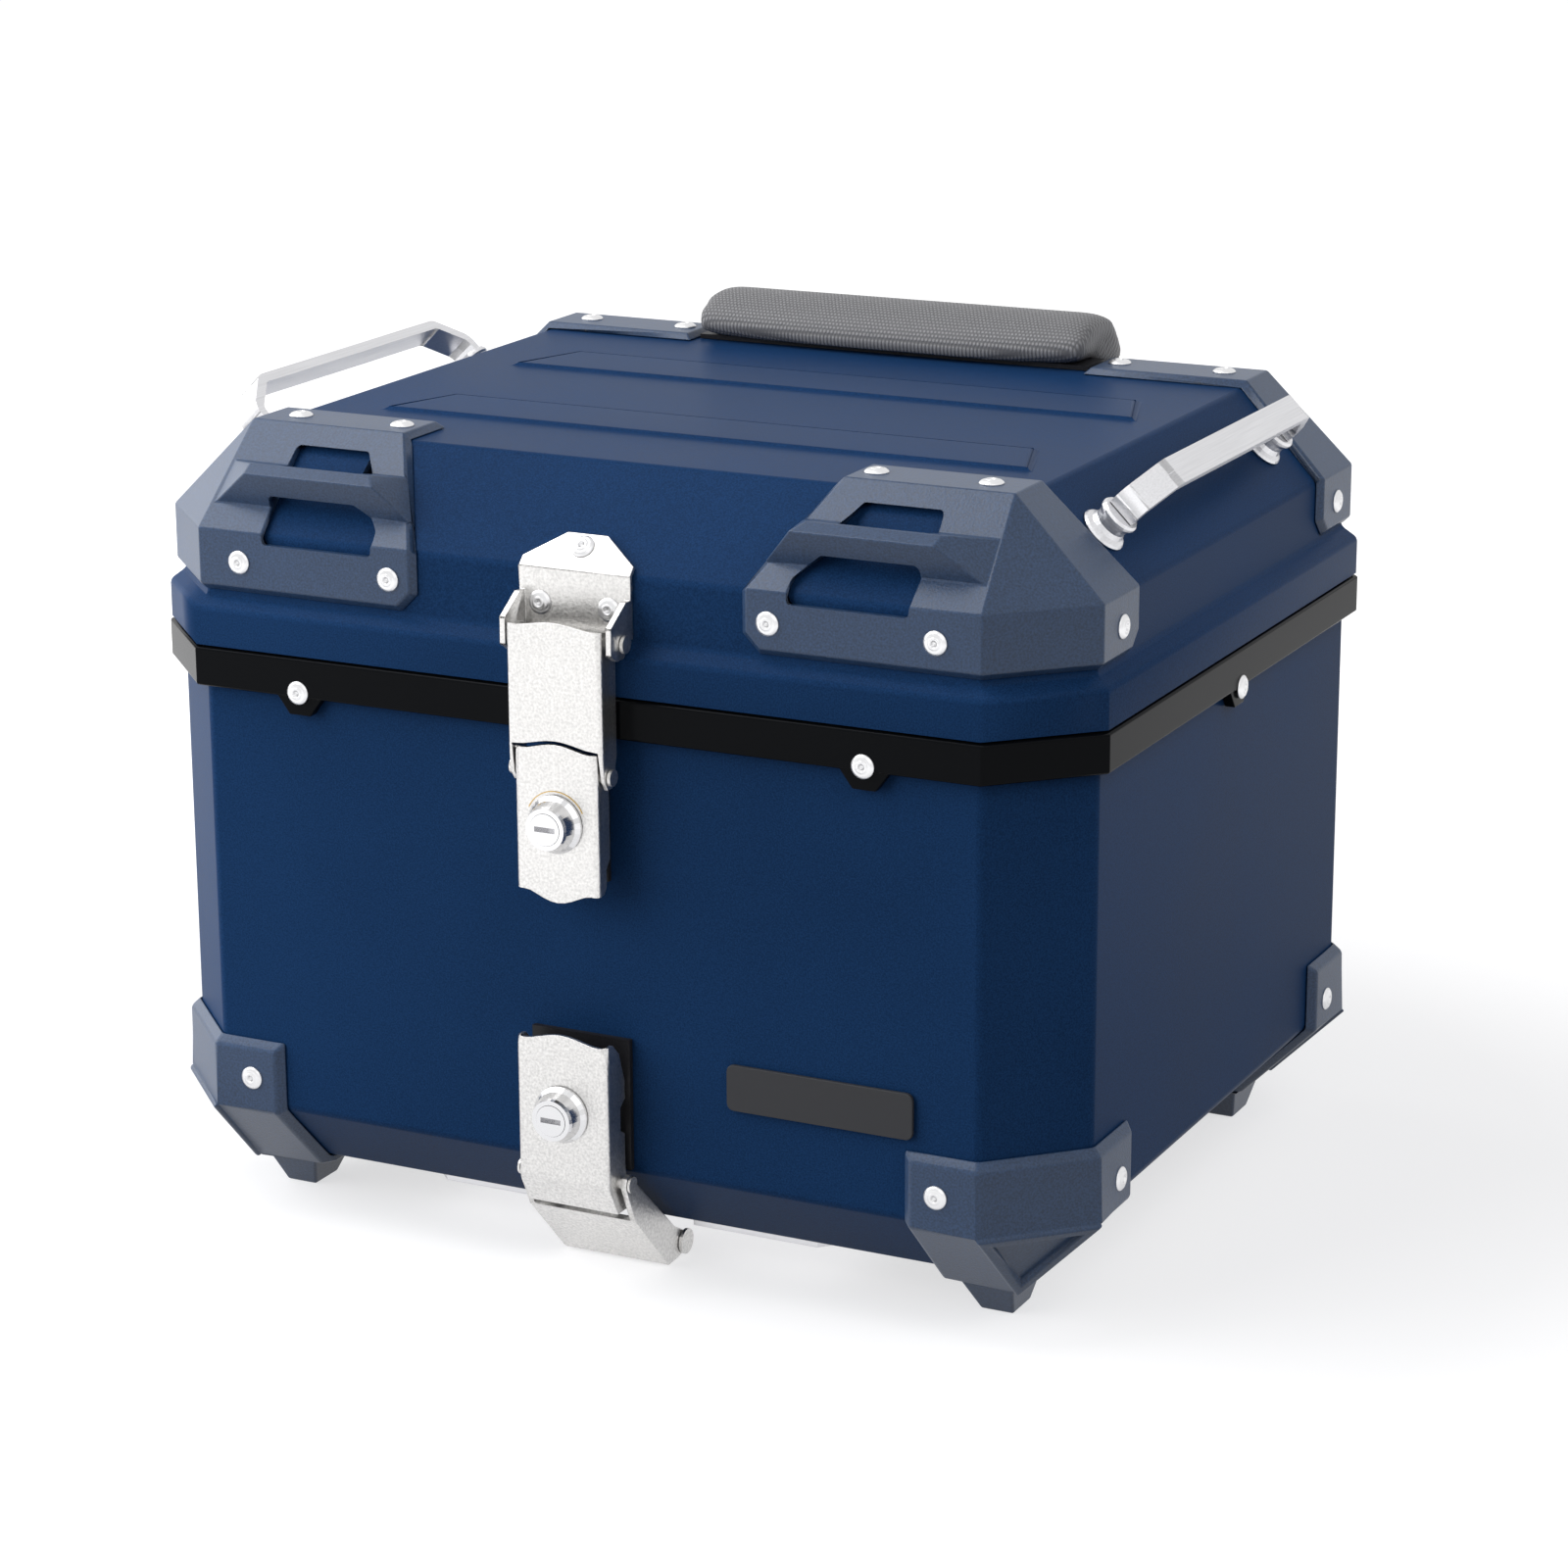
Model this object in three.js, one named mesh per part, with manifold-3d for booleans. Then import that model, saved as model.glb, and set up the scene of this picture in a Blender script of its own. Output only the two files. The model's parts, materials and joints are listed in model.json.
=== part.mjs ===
// A hard aluminium top case for a motorcycle: a folded box with an edge band, a hinged lid with corner
// guards and strap hoods, two side handles, a backrest pad, a lid latch and a carrier lock with its hook.
// Millimetres. +X is the case's right, +Y its back (the hinges), +Z up. The latches are on the front, -Y.

import * as THREE from 'three';
import { ConvexGeometry } from 'three/addons/geometries/ConvexGeometry.js';
import { mergeVertices } from 'three/addons/utils/BufferGeometryUtils.js';
import Module from 'manifold-3d';

const wasm = await Module();
wasm.setup();

// Overall sizes
const caseWidth = 430;       // across the edge band, left to right
const caseDepth = 362;       // across the edge band, front to back
const cornerCut = 37.5;      // leg of the 45 degree corner of the edge band
const bandTop = 251.5;       // top of the edge band above the ground
const lidHeight = 85.5;      // lid's top sheet above the edge band
const footHeight = 19.5;     // box floor above the ground

// Sheet metal
const wall = 2;
const seat = 0.3;            // gap between two pieces that rest on each other
const bend = Math.tan(Math.PI / 8);
const diagonal = Math.SQRT1_2;

// Box
const boxInset = 5.5;        // box wall inside the band's outline
const boxSlope = 32;         // leg of the 45 degree slope round the floor
const boxTop = bandTop - 3;
const boxWallX = caseWidth / 2 - boxInset;
const boxWallY = caseDepth / 2 - boxInset;
const boxKnee = footHeight + boxSlope;

// Edge band and seal
const bandHeight = 16.5;
const bandBottom = bandTop - bandHeight;
const bandLip = 3.5;         // how far the band reaches inside the box wall
const bandChamfer = 0.8;
const tabDrop = 7.5;
const tabTop = 21;
const tabFoot = 10;
const tabX = 128;
const sealInset = 4;
const sealWidth = 4.5;
const sealHeight = 2.6;

// Lid
const skirtInset = 0.7;
const skirtBottom = bandTop + 1;
const skirtHeight = 16;
const skirtRidge = skirtBottom + skirtHeight;
const lidInset = 7;          // lid wall inside the band's outline
const lidWallFoot = skirtRidge + 5;
const lidSlope = 37;         // leg of the 45 degree shoulder
const lidTop = bandTop + lidHeight;
const lidKnee = lidTop - lidSlope;
const lidWallX = caseWidth / 2 - lidInset;
const lidWallY = caseDepth / 2 - lidInset;
const ribDepth = 38;
const ribHeight = 1.2;
const ribSlope = 0.9;
const ribMargin = 42;        // rib's end to the edge of the top sheet
const ribFrontY = 89 - lidWallY;
const ribRearY = lidWallY - 149;

// Upper corner guards
const guardSheet = 3;
const guardBottom = lidWallFoot + 1.6;
const guardReachX = 135.3;   // guard's edge on the front wall, inside the outline of the guard
const guardTopReachX = 111.3;
const guardReachY = 71;
const guardTopReachY = 65;
const hoodDepth = 7;         // how far the hood's face leans out over its foot

// Lower corner guards and feet
const lowerSheet = 4;
const baseHalf = 98;
const baseSheet = 3;
const lowerReachX = 66.2;
const lowerReachY = 69.8;
const lowerTop = boxKnee + 26;
const frameProud = 2.2;
const footLength = 17.5;
const footWidth = 14.5;

// Lid latch
const latchHalf = 21.2;
const leverHalf = 18.75;
const latchFront = 19.5;     // latch face in front of the box wall
const coverSheet = 1.7;
const pinRadius = 2.4;
const pinClear = 0.1;
const latchFaceY = -boxWallY - latchFront;
const upperPivotY = -boxWallY - 7.5;
const upperPivotZ = skirtRidge + 6.5;
const lowerPivotY = -boxWallY - 12.9;
const lowerPivotZ = bandBottom - 13.5;
const leverLength = 54;
const lockBarrel = 8;
const lockRadius = 12;
const lockFace = 8.6;
const lockLength = 9;
const plugRadius = 6.6;
const plugClear = 0.15;
const latchLockZ = lowerPivotZ - 20;

// Carrier lock
const mountHalf = 20.8;
const mountTop = boxKnee + 58;
const mountLockZ = boxKnee + 27.5;
const mountPivotY = -boxWallY - 7;
const mountPivotZ = boxKnee - 11;
const hookPivotY = -boxWallY - 8;
const hookPivotZ = boxKnee - 3;
const hookSheet = 2.5;
const hookHalf = 24.8;
const hookLow = 1;           // hook's lowest corner above the ground
const floorFront = boxSlope - boxWallY;   // front edge of the box's flat floor
const hookToe = floorFront - 7.5;
const hookPinY = floorFront + 6;
const hookPinZ = footHeight - 12.2;

// Hinges
const hingeSpacing = 220;
const hingeWidth = 54;
const hingePinY = caseDepth / 2 + 6;
const hingePinZ = bandTop + 0.5;
const hingeSheet = 2.5;
const knuckleRadius = 5;
const rearTabX = hingeSpacing / 2 + hingeWidth / 2 + 18;

// Handles
const handleFrontY = 80 - lidWallY;   // a handle's front and rear fixings
const handleRearY = lidWallY - 91;
const handleSpan = handleRearY - handleFrontY;
const handleRise = 28;
const handleWidth = 12.4;
const handleSheet = 4.5;
const handleLean = 17;       // how far a handle's leg leans in from its fixing
const bossHeight = 11.5;
const bossRadius = 9.25;

// Backrest
const padTop = lidTop + 23;
const padFrontY = lidWallY - 62;   // pad's front edge on the lid's top sheet
const padDrop = 52;          // pad's lower end below the lid's top sheet
const padSide = 4;           // pad's side to the guards beside it

const navy = paint(0x1b2c49, 0.55, 0.35);
const gloss = paint(0x0c0d10, 0.2, 0.1);
const rubber = paint(0x121212, 0.8, 0);
const steel = paint(0xc9c7c2, 0.3, 1);
const brushed = paint(0xb9babd, 0.35, 1);
const leather = paint(0x2b2c2e, 0.7, 0);
const blackMetal = paint(0x17181b, 0.5, 0.3);
const greyPlastic = paint(0x4a4d52, 0.5, 0);

function paint(color, roughness, metalness) {
  return new THREE.MeshStandardMaterial({ color, roughness, metalness });
}

// ---- solids ----------------------------------------------------------------------------------------

function solidOf(geometry) {
  geometry.deleteAttribute('normal');
  geometry.deleteAttribute('uv');
  const merged = mergeVertices(geometry, 1e-4);
  const vertProperties = new Float32Array(merged.attributes.position.array);
  const triVerts = new Uint32Array(merged.index.array);
  return new wasm.Manifold(new wasm.Mesh({ numProp: 3, vertProperties, triVerts }));
}

function hull(points) {
  return solidOf(new ConvexGeometry(points.map(([x, y, z]) => new THREE.Vector3(x, y, z))));
}

function box(low, high) {
  const geometry = new THREE.BoxGeometry(high[0] - low[0], high[1] - low[1], high[2] - low[2]);
  geometry.translate((low[0] + high[0]) / 2, (low[1] + high[1]) / 2, (low[2] + high[2]) / 2);
  return solidOf(geometry);
}

// An outline pushed along an axis. Along x the outline is [y, z], along y it is [x, z], along z [x, y].
function prism(axis, outline, from, to) {
  const flat = axis === 'y' ? outline.map(([x, z]) => [z, x]) : outline;
  const shape = new THREE.Shape(flat.map(([u, v]) => new THREE.Vector2(u, v)));
  const geometry = new THREE.ExtrudeGeometry(shape, { depth: to - from, bevelEnabled: false });
  geometry.translate(0, 0, from);
  const frame = new THREE.Matrix4();
  const [x, y, z] = [new THREE.Vector3(1, 0, 0), new THREE.Vector3(0, 1, 0), new THREE.Vector3(0, 0, 1)];
  if (axis === 'x') frame.makeBasis(y, z, x);
  if (axis === 'y') frame.makeBasis(z, x, y);
  geometry.applyMatrix4(frame);
  return solidOf(geometry);
}

function circle([u, v], radius, sides = 24) {
  return Array.from({ length: sides }, (_, i) => {
    const angle = (i + 0.5) * 2 * Math.PI / sides;
    return [u + radius * Math.cos(angle), v + radius * Math.sin(angle)];
  });
}

function rod(axis, centre, radius, from, to, sides = 24) {
  return prism(axis, circle(centre, radius, sides), from, to);
}

// The arc that replaces a corner between its two neighbours.
function arc(before, corner, after, radius, steps) {
  const p = new THREE.Vector2(...corner);
  const a = new THREE.Vector2(...before).sub(p).normalize();
  const b = new THREE.Vector2(...after).sub(p).normalize();
  const half = Math.acos(THREE.MathUtils.clamp(a.dot(b), -1, 1)) / 2;
  const reach = radius / Math.tan(half);
  const centre = a.clone().add(b).normalize().multiplyScalar(radius / Math.sin(half)).add(p);
  const start = a.clone().multiplyScalar(reach).add(p).sub(centre);
  const end = b.clone().multiplyScalar(reach).add(p).sub(centre);
  const sweep = Math.atan2(start.cross(end), start.dot(end));
  return Array.from({ length: steps + 1 }, (_, k) => {
    const turn = start.clone().rotateAround(new THREE.Vector2(), sweep * k / steps);
    return [centre.x + turn.x, centre.y + turn.y];
  });
}

// A closed outline with each corner turned into an arc of the given radius.
function rounded(outline, radius, steps = 3) {
  return outline.flatMap((corner, i) => {
    const before = outline[(i + outline.length - 1) % outline.length];
    return arc(before, corner, outline[(i + 1) % outline.length], radius, steps);
  });
}

// An open path with the corners between its ends turned into arcs.
function bent(path, radius, steps = 5) {
  const inner = path.slice(1, -1).flatMap((corner, i) => arc(path[i], corner, path[i + 2], radius, steps));
  return [path[0], ...inner, path[path.length - 1]];
}

// The outline of a sheet of the given thickness, laid to the left of an open path.
function strip(path, thickness) {
  const points = path.map(([u, v]) => new THREE.Vector2(u, v));
  const normals = points.slice(1).map((p, i) => {
    const along = p.clone().sub(points[i]).normalize();
    return new THREE.Vector2(-along.y, along.x);
  });
  const other = points.map((p, i) => {
    const a = normals[Math.max(i - 1, 0)];
    const b = normals[Math.min(i, normals.length - 1)];
    const mitre = a.clone().add(b).normalize();
    return p.clone().addScaledVector(mitre, thickness / mitre.dot(a));
  });
  return [...points, ...other.reverse()].map(p => [p.x, p.y]);
}

// Cuts away what lies beyond a plane, on the side that its normal points to.
function trim(body, point, normal) {
  const size = 900;
  const block = new THREE.BoxGeometry(size, size, size);
  block.translate(0, 0, size / 2);
  const up = new THREE.Vector3(0, 0, 1);
  block.applyQuaternion(new THREE.Quaternion().setFromUnitVectors(up, normal.clone().normalize()));
  block.translate(point.x, point.y, point.z);
  return body.subtract(solidOf(block));
}

// Trims a sheet along the edge p-q with a 45 degree bevel; away points to the side that goes.
function bevelEdge(body, p, q, faceNormal, away) {
  const side = new THREE.Vector3().crossVectors(q.clone().sub(p), faceNormal).normalize();
  if (side.dot(away) < 0) side.negate();
  return trim(body, p, side.add(faceNormal));
}

// A solid of revolution about +Z from a profile of [radius, height] that starts and ends on the axis.
function turned(profile, sides = 24) {
  const points = profile.map(([r, h]) => new THREE.Vector2(r, h));
  const geometry = new THREE.LatheGeometry(points, sides);
  geometry.rotateX(Math.PI / 2);
  return geometry;
}

function mesh(name, body, material) {
  const { vertProperties, triVerts } = body.getMesh();
  const geometry = new THREE.BufferGeometry();
  geometry.setAttribute('position', new THREE.BufferAttribute(vertProperties, 3));
  geometry.setIndex(new THREE.BufferAttribute(triVerts, 1));
  geometry.computeVertexNormals();
  const result = new THREE.Mesh(geometry, material);
  result.name = name;
  return result;
}

// ---- outlines shared by the pieces -----------------------------------------------------------------

// The case's eight-sided outline, moved in from the band's outer face.
function ring(inset, z) {
  const x = caseWidth / 2 - inset;
  const y = caseDepth / 2 - inset;
  const leg = cornerCut - inset * (2 - Math.SQRT2);
  const quarter = [[x - leg, -y], [x, leg - y], [x, y - leg], [x - leg, y]];
  return [...quarter, ...quarter.map(([u, v]) => [-u, -v])].map(([u, v]) => [u, v, z]);
}

function rectangle(x, y, z) {
  return [[x, y, z], [-x, y, z], [-x, -y, z], [x, -y, z]];
}

// The box's outside, grown by an amount; a negative amount gives its inside.
function boxBody(grow, top) {
  return hull([
    ...rectangle(boxWallX - boxSlope + grow * bend, boxWallY - boxSlope + grow * bend, footHeight - grow),
    ...ring(boxInset - grow, boxKnee - grow * bend),
    ...ring(boxInset - grow, top),
  ]);
}

// The lid's upper part, grown by an amount.
function lidBody(grow, bottom) {
  return hull([
    ...ring(lidInset - grow, bottom),
    ...ring(lidInset - grow, lidKnee + grow * bend),
    ...rectangle(lidWallX - lidSlope + grow * bend, lidWallY - lidSlope + grow * bend, lidTop + grow),
  ]);
}

function skirtBody(grow, bottom) {
  return hull([
    ...ring(skirtInset - grow, bottom),
    ...ring(skirtInset - grow, skirtRidge + grow * bend),
    ...ring(lidInset - grow, lidWallFoot + grow * bend),
  ]);
}

// A block over one corner of the case, out from x and y, between two heights.
function cornerBlock(sx, sy, x, y, low, high) {
  const reach = Math.max(caseWidth, caseDepth);
  const outline = [[x, y], [reach, y], [x, reach], [reach, reach]];
  return hull([low, high].flatMap(z => outline.map(([u, v]) => [sx * u, sy * v, z])));
}

const corners = [
  { name: 'front_left', sx: -1, sy: -1 },
  { name: 'front_right', sx: 1, sy: -1 },
  { name: 'rear_left', sx: -1, sy: 1 },
  { name: 'rear_right', sx: 1, sy: 1 },
];

// ---- box -------------------------------------------------------------------------------------------

function boxShell() {
  return boxBody(0, boxTop).subtract(boxBody(-wall, boxTop + 1));
}

function rimBand() {
  const outside = hull([
    ...ring(bandChamfer, bandBottom),
    ...ring(0, bandBottom + bandChamfer),
    ...ring(0, bandTop - bandChamfer),
    ...ring(bandChamfer, bandTop),
  ]);
  const tabs = [-1, 1].flatMap(side => {
    return [bandTab(side * tabX, -1), bandTab(side * rearTabX, 1), sideTab(side)];
  });
  const fit = boxInset - seat;
  const lip = boxInset + bandLip;
  const slot = hull([...ring(fit, bandBottom - tabDrop - 1), ...ring(fit, boxTop + seat)]);
  const mouth = hull([...ring(lip, boxTop - 1), ...ring(lip, bandTop + 1)]);
  return tabs.reduce((band, tab) => band.add(tab), outside).subtract(slot).subtract(mouth);
}

function tabOutline(centre) {
  const top = bandBottom + 2;
  const foot = bandBottom - tabDrop;
  return [
    [centre - tabTop / 2, top], [centre + tabTop / 2, top], [centre + tabTop / 2, bandBottom],
    [centre + tabFoot / 2, foot], [centre - tabFoot / 2, foot], [centre - tabTop / 2, bandBottom],
  ];
}

function bandTab(x, side) {
  const outer = side * (caseDepth / 2 - bandChamfer);
  const inner = side * (boxWallY - 1);
  return prism('y', tabOutline(x), Math.min(outer, inner), Math.max(outer, inner));
}

function sideTab(side) {
  const outer = side * (caseWidth / 2 - bandChamfer);
  const inner = side * (boxWallX - 1);
  return prism('x', tabOutline(0), Math.min(outer, inner), Math.max(outer, inner));
}

function rimSeal() {
  const low = bandTop + seat;
  const high = low + sealHeight;
  const outside = hull([...ring(sealInset, low), ...ring(sealInset, high - 1), ...ring(sealInset + 1, high)]);
  const inside = hull([...ring(sealInset + sealWidth, low - 1), ...ring(sealInset + sealWidth, high + 1)]);
  return outside.subtract(inside);
}

// The plate under the floor, with a notch at the front for the carrier hook.
function basePlate() {
  const top = footHeight - seat;
  const y = boxWallY - boxSlope - 3;
  const x = baseHalf;
  const taper = 10;
  const notch = hookHalf + 6;
  const outline = [
    [-x + taper, -y], [-notch, -y], [-notch, -y + 22], [notch, -y + 22], [notch, -y], [x - taper, -y],
    [x, -y + taper], [x, y - taper], [x - taper, y], [-x + taper, y], [-x, y - taper], [-x, -y + taper],
  ];
  return prism('z', outline, top - baseSheet, top);
}

function badgePlate() {
  const foot = boxKnee + 34;
  const head = foot + 19.5;
  const outline = rounded([[66, foot], [148, foot], [148, head], [66, head]], 3);
  return prism('y', outline, -boxWallY - seat - wall, -boxWallY - seat);
}

// ---- lower guards ----------------------------------------------------------------------------------

function lowerGuard(sx, sy) {
  const grow = seat + lowerSheet;
  const x = boxWallX + grow;
  const y = boxWallY + grow;
  const edgeX = x - lowerReachX;
  const edgeY = y - lowerReachY;
  const v = (a, b, c) => new THREE.Vector3(sx * a, sy * b, c);
  const block = cornerBlock(sx, sy, edgeX - lowerSheet, edgeY - lowerSheet, 0, lowerTop + lowerSheet);
  const front = v(0, 1, 0);
  const side = v(1, 0, 0);
  const frontSlope = v(0, diagonal, -diagonal);
  const sideSlope = v(diagonal, 0, -diagonal);
  const chamfer = v(diagonal, diagonal, 0);
  const up = new THREE.Vector3(0, 0, 1);
  const inX = v(-1, 0, 0);
  const inY = v(0, -1, 0);
  const knee = boxKnee - grow * bend;
  const leg = cornerCut - (boxInset - grow) * (2 - Math.SQRT2);
  const edges = [
    [v(edgeX, y, lowerTop), v(edgeX, y, knee), front, inX],
    [v(edgeX, y, knee), v(edgeX, y - boxSlope, knee - boxSlope), frontSlope, inX],
    [v(x, edgeY, lowerTop), v(x, edgeY, knee), side, inY],
    [v(x, edgeY, knee), v(x - boxSlope, edgeY, knee - boxSlope), sideSlope, inY],
    [v(edgeX, y, lowerTop), v(x, y, lowerTop), front, up],
    [v(x, edgeY, lowerTop), v(x, y, lowerTop), side, up],
    [v(x - leg, y, lowerTop), v(x, y - leg, lowerTop), chamfer, up],
  ];
  const whole = boxBody(grow, bandBottom).intersect(block);
  const sheet = edges.reduce((body, edge) => bevelEdge(body, ...edge), whole);
  const guard = sheet.add(cornerFrame(sx, sy, grow)).add(foot(sx, sy));
  return guard.subtract(cornerPanel(sx, sy, grow)).subtract(boxBody(seat, bandTop));
}

// The three corners of the case's triangular facet at a distance outside the box, and its normal.
function facet(sx, sy, grow) {
  const x = boxWallX + grow;
  const y = boxWallY + grow;
  const leg = cornerCut - (boxInset - grow) * (2 - Math.SQRT2);
  const knee = boxKnee - grow * bend;
  const a = new THREE.Vector3(sx * (x - leg), sy * y, knee);
  const b = new THREE.Vector3(sx * x, sy * (y - leg), knee);
  const rim = boxSlope - grow * bend;
  const c = new THREE.Vector3(sx * (x - grow - rim), sy * (y - grow - rim), footHeight - grow);
  const normal = b.clone().sub(a).cross(c.clone().sub(a)).normalize();
  if (normal.z > 0) normal.negate();
  return { points: [a, b, c], normal };
}

// A plate on the facet, its corners drawn in towards the middle, between two heights over the facet.
function facetPlate(sx, sy, grow, shrink, from, to) {
  const { points, normal } = facet(sx, sy, grow);
  const middle = points[0].clone().add(points[1]).add(points[2]).divideScalar(3);
  const drawn = points.map(p => p.clone().sub(middle).multiplyScalar(shrink).add(middle));
  return hull([from, to].flatMap(h => drawn.map(p => p.clone().addScaledVector(normal, h).toArray())));
}

function cornerFrame(sx, sy, grow) {
  return facetPlate(sx, sy, grow, 1.04, -lowerSheet, frameProud);
}

function cornerPanel(sx, sy, grow) {
  return facetPlate(sx, sy, grow, 0.72, frameProud - 2.6, frameProud + 5);
}

function foot(sx, sy) {
  const x = boxWallX - boxSlope - 4.3;
  const y = boxWallY - boxSlope - 9.7;
  const top = footHeight - seat - 1;
  const sole = [[x - footWidth, y - footLength], [x, y - footLength], [x, y], [x - footWidth, y]];
  const root = [[x - footWidth - 7, y - footLength - 9], [x + 4, y - footLength - 9], [x + 4, y + 11],
    [x - footWidth - 7, y + 11]];
  return hull([
    ...sole.map(([u, w]) => [sx * u, sy * w, 0]),
    ...root.map(([u, w]) => [sx * u, sy * w, top]),
  ]);
}

// ---- lid -------------------------------------------------------------------------------------------

function lidShell() {
  const outside = skirtBody(0, skirtBottom).add(lidBody(0, skirtRidge));
  const inside = skirtBody(-wall, skirtBottom - 1).add(lidBody(-wall, skirtRidge - 1));
  return outside.add(rib(ribFrontY)).add(rib(ribRearY)).subtract(inside);
}

// A long pressed panel on the top sheet, with sloping sides; its ends are drawn in towards the back.
function rib(frontY) {
  const x = lidWallX - lidSlope - ribMargin + 26;
  const top = (edge, z) => [
    [edge - x + 14, frontY + edge, z], [x - edge, frontY + edge, z],
    [x - 13 - edge, frontY + ribDepth - edge, z], [edge - x + 26, frontY + ribDepth - edge, z],
  ];
  return hull([...top(0, lidTop - 0.5), ...top(0, lidTop), ...top(ribSlope, lidTop + ribHeight)]);
}

function upperGuard(sx, sy) {
  const grow = seat + guardSheet;
  const x = lidWallX + grow;
  const y = lidWallY + grow;
  const knee = lidKnee + grow * bend;
  const top = lidTop + grow;
  const topX = x - lidSlope - grow + grow * bend;
  const topY = y - lidSlope - grow + grow * bend;
  const leg = cornerCut - (lidInset - grow) * (2 - Math.SQRT2);
  const edgeX = x - guardReachX;
  const edgeTopX = x - guardTopReachX;
  const edgeY = y - guardReachY;
  const edgeTopY = y - guardTopReachY;
  const rise = guardBottom + guardSheet;
  const v = (a, b, c) => new THREE.Vector3(sx * a, sy * b, c);
  const block = cornerBlock(sx, sy, edgeX - 6, edgeY - 6, guardBottom, top + 1);
  const front = v(0, 1, 0);
  const side = v(1, 0, 0);
  const frontSlope = v(0, diagonal, diagonal);
  const sideSlope = v(diagonal, 0, diagonal);
  const chamfer = v(diagonal, diagonal, 0);
  const up = new THREE.Vector3(0, 0, 1);
  const down = new THREE.Vector3(0, 0, -1);
  const inX = v(-1, 0, 0);
  const inY = v(0, -1, 0);
  const nip = 6;               // small cut across the sheet's lower corners
  const edges = [
    [v(edgeX, y, rise), v(edgeX, y, knee), front, inX],
    [v(edgeX, y, knee), v(edgeTopX, topY, top), frontSlope, inX],
    [v(edgeTopX, topY, top), v(edgeTopX, 0, top), up, inX],
    [v(edgeX, y, rise + nip), v(edgeX + nip, y, rise), front, inX],
    [v(x, edgeY, rise), v(x, edgeY, knee), side, inY],
    [v(x, edgeY, knee), v(topX, edgeTopY, top), sideSlope, inY],
    [v(topX, edgeTopY, top), v(0, edgeTopY, top), up, inY],
    [v(x, edgeY, rise + nip), v(x, edgeY + nip, rise), side, inY],
    [v(edgeX, y, rise), v(x, y, rise), front, down],
    [v(x, edgeY, rise), v(x, y, rise), side, down],
    [v(x - leg, y, rise), v(x, y - leg, rise), chamfer, down],
  ];
  const whole = lidBody(grow, skirtRidge).intersect(block);
  const sheet = edges.reduce((body, edge) => bevelEdge(body, ...edge), whole);
  const guard = sheet.add(strapHood(sx, sy, x, y, knee)).subtract(lidBody(seat, skirtRidge - 1));
  return guard.subtract(strapMouth(sx, sy, x, y, knee)).subtract(strapSlot(sx, sy, x, y, knee));
}

// The strap bar's block, standing on the guard's front shoulder with its face leaning out.
function strapHood(sx, sy, x, y, knee) {
  const foot = 9.3;
  const top = 24;
  const edge = c => guardReachX + 2 - (guardReachX - guardTopReachX) * c / lidSlope;
  const p = (a, b, c) => [sx * (x - a), sy * (y - b), knee + c];
  return hull([
    p(38, foot, foot), p(edge(foot), foot, foot),
    p(56.8, foot - hoodDepth, top), p(117.8, foot - hoodDepth, top),
    p(55.8, foot - 0.5, top + 3.2), p(113.3, foot - 0.5, top + 3.2),
    p(39, top, top), p(edge(top), top, top),
    p(40, foot + 6, foot), p(edge(foot), foot + 6, foot),
  ]);
}

// The opening in the face below the strap bar.
function strapMouth(sx, sy, x, y, knee) {
  const outline = rounded([
    [x - 64.8, knee + 14.6], [x - 106.3, knee + 14.6], [x - 117.8, knee + 5],
    [x - 117.8, knee - 4.6], [x - 66, knee - 4.6],
  ], 2);
  const flat = outline.map(([a, c]) => [sx * a, c]);
  const ends = [sy * (y + 8), sy * (y - 30)];
  return prism('y', flat, Math.min(...ends), Math.max(...ends));
}

// The slot above and behind the strap bar.
function strapSlot(sx, sy, x, y, knee) {
  const outline = rounded([
    [x - 64.8, knee + 31.4], [x - 99.3, knee + 31.4], [x - 105.3, knee + 23],
    [x - 106.3, knee + 10], [x - 64.8, knee + 10],
  ], 2);
  const flat = outline.map(([a, c]) => [sx * a, c]);
  const ends = [sy * (y - 14), sy * (y - 45)];
  return prism('y', flat, Math.min(...ends), Math.max(...ends));
}

// ---- handles ---------------------------------------------------------------------------------------

// A flat bar whose two legs stand on the bosses and lean in towards its raised middle.
function handleBar() {
  const level = bossHeight + 2 * seat;
  const end = handleSpan / 2 - handleSheet / 2;
  const top = handleSpan / 2 - handleLean;
  const path = [[-end, level], [-end, level + 5], [-top, handleRise], [top, handleRise],
    [end, level + 5], [end, level]];
  return prism('x', strip(bent(path, 4.5), handleSheet), -handleWidth / 2, handleWidth / 2);
}

function handleBoss() {
  return solidOf(turned([
    [0, 0], [bossRadius + 0.5, 0], [bossRadius + 0.8, 0.8], [bossRadius + 0.2, 1.8], [bossRadius - 1.4, 3],
    [bossRadius - 2.2, 5], [bossRadius - 2.2, 7], [bossRadius - 1.4, 8.6], [bossRadius - 0.8, 9.4],
    [bossRadius - 0.8, 10.4], [bossRadius - 1.5, bossHeight], [0, bossHeight],
  ]));
}

function handle(side) {
  const group = new THREE.Group();
  const word = side < 0 ? 'left' : 'right';
  const low = 0.6;             // fixings below the middle of the shoulder
  const y = (handleFrontY + handleRearY) / 2;
  group.position.set(side * (lidWallX - lidSlope / 2 + low), y, lidKnee + lidSlope / 2 - low);
  group.rotation.y = side * Math.PI / 4;
  group.add(mesh(`handle_bar_${word}`, handleBar(), brushed));
  for (const [end, along] of [['front', -handleSpan / 2], ['rear', handleSpan / 2]]) {
    const boss = mesh(`handle_boss_${word}_${end}`, handleBoss(), brushed);
    boss.position.set(0, along, seat);
    group.add(boss);
  }
  return group;
}

// ---- backrest --------------------------------------------------------------------------------------

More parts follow.
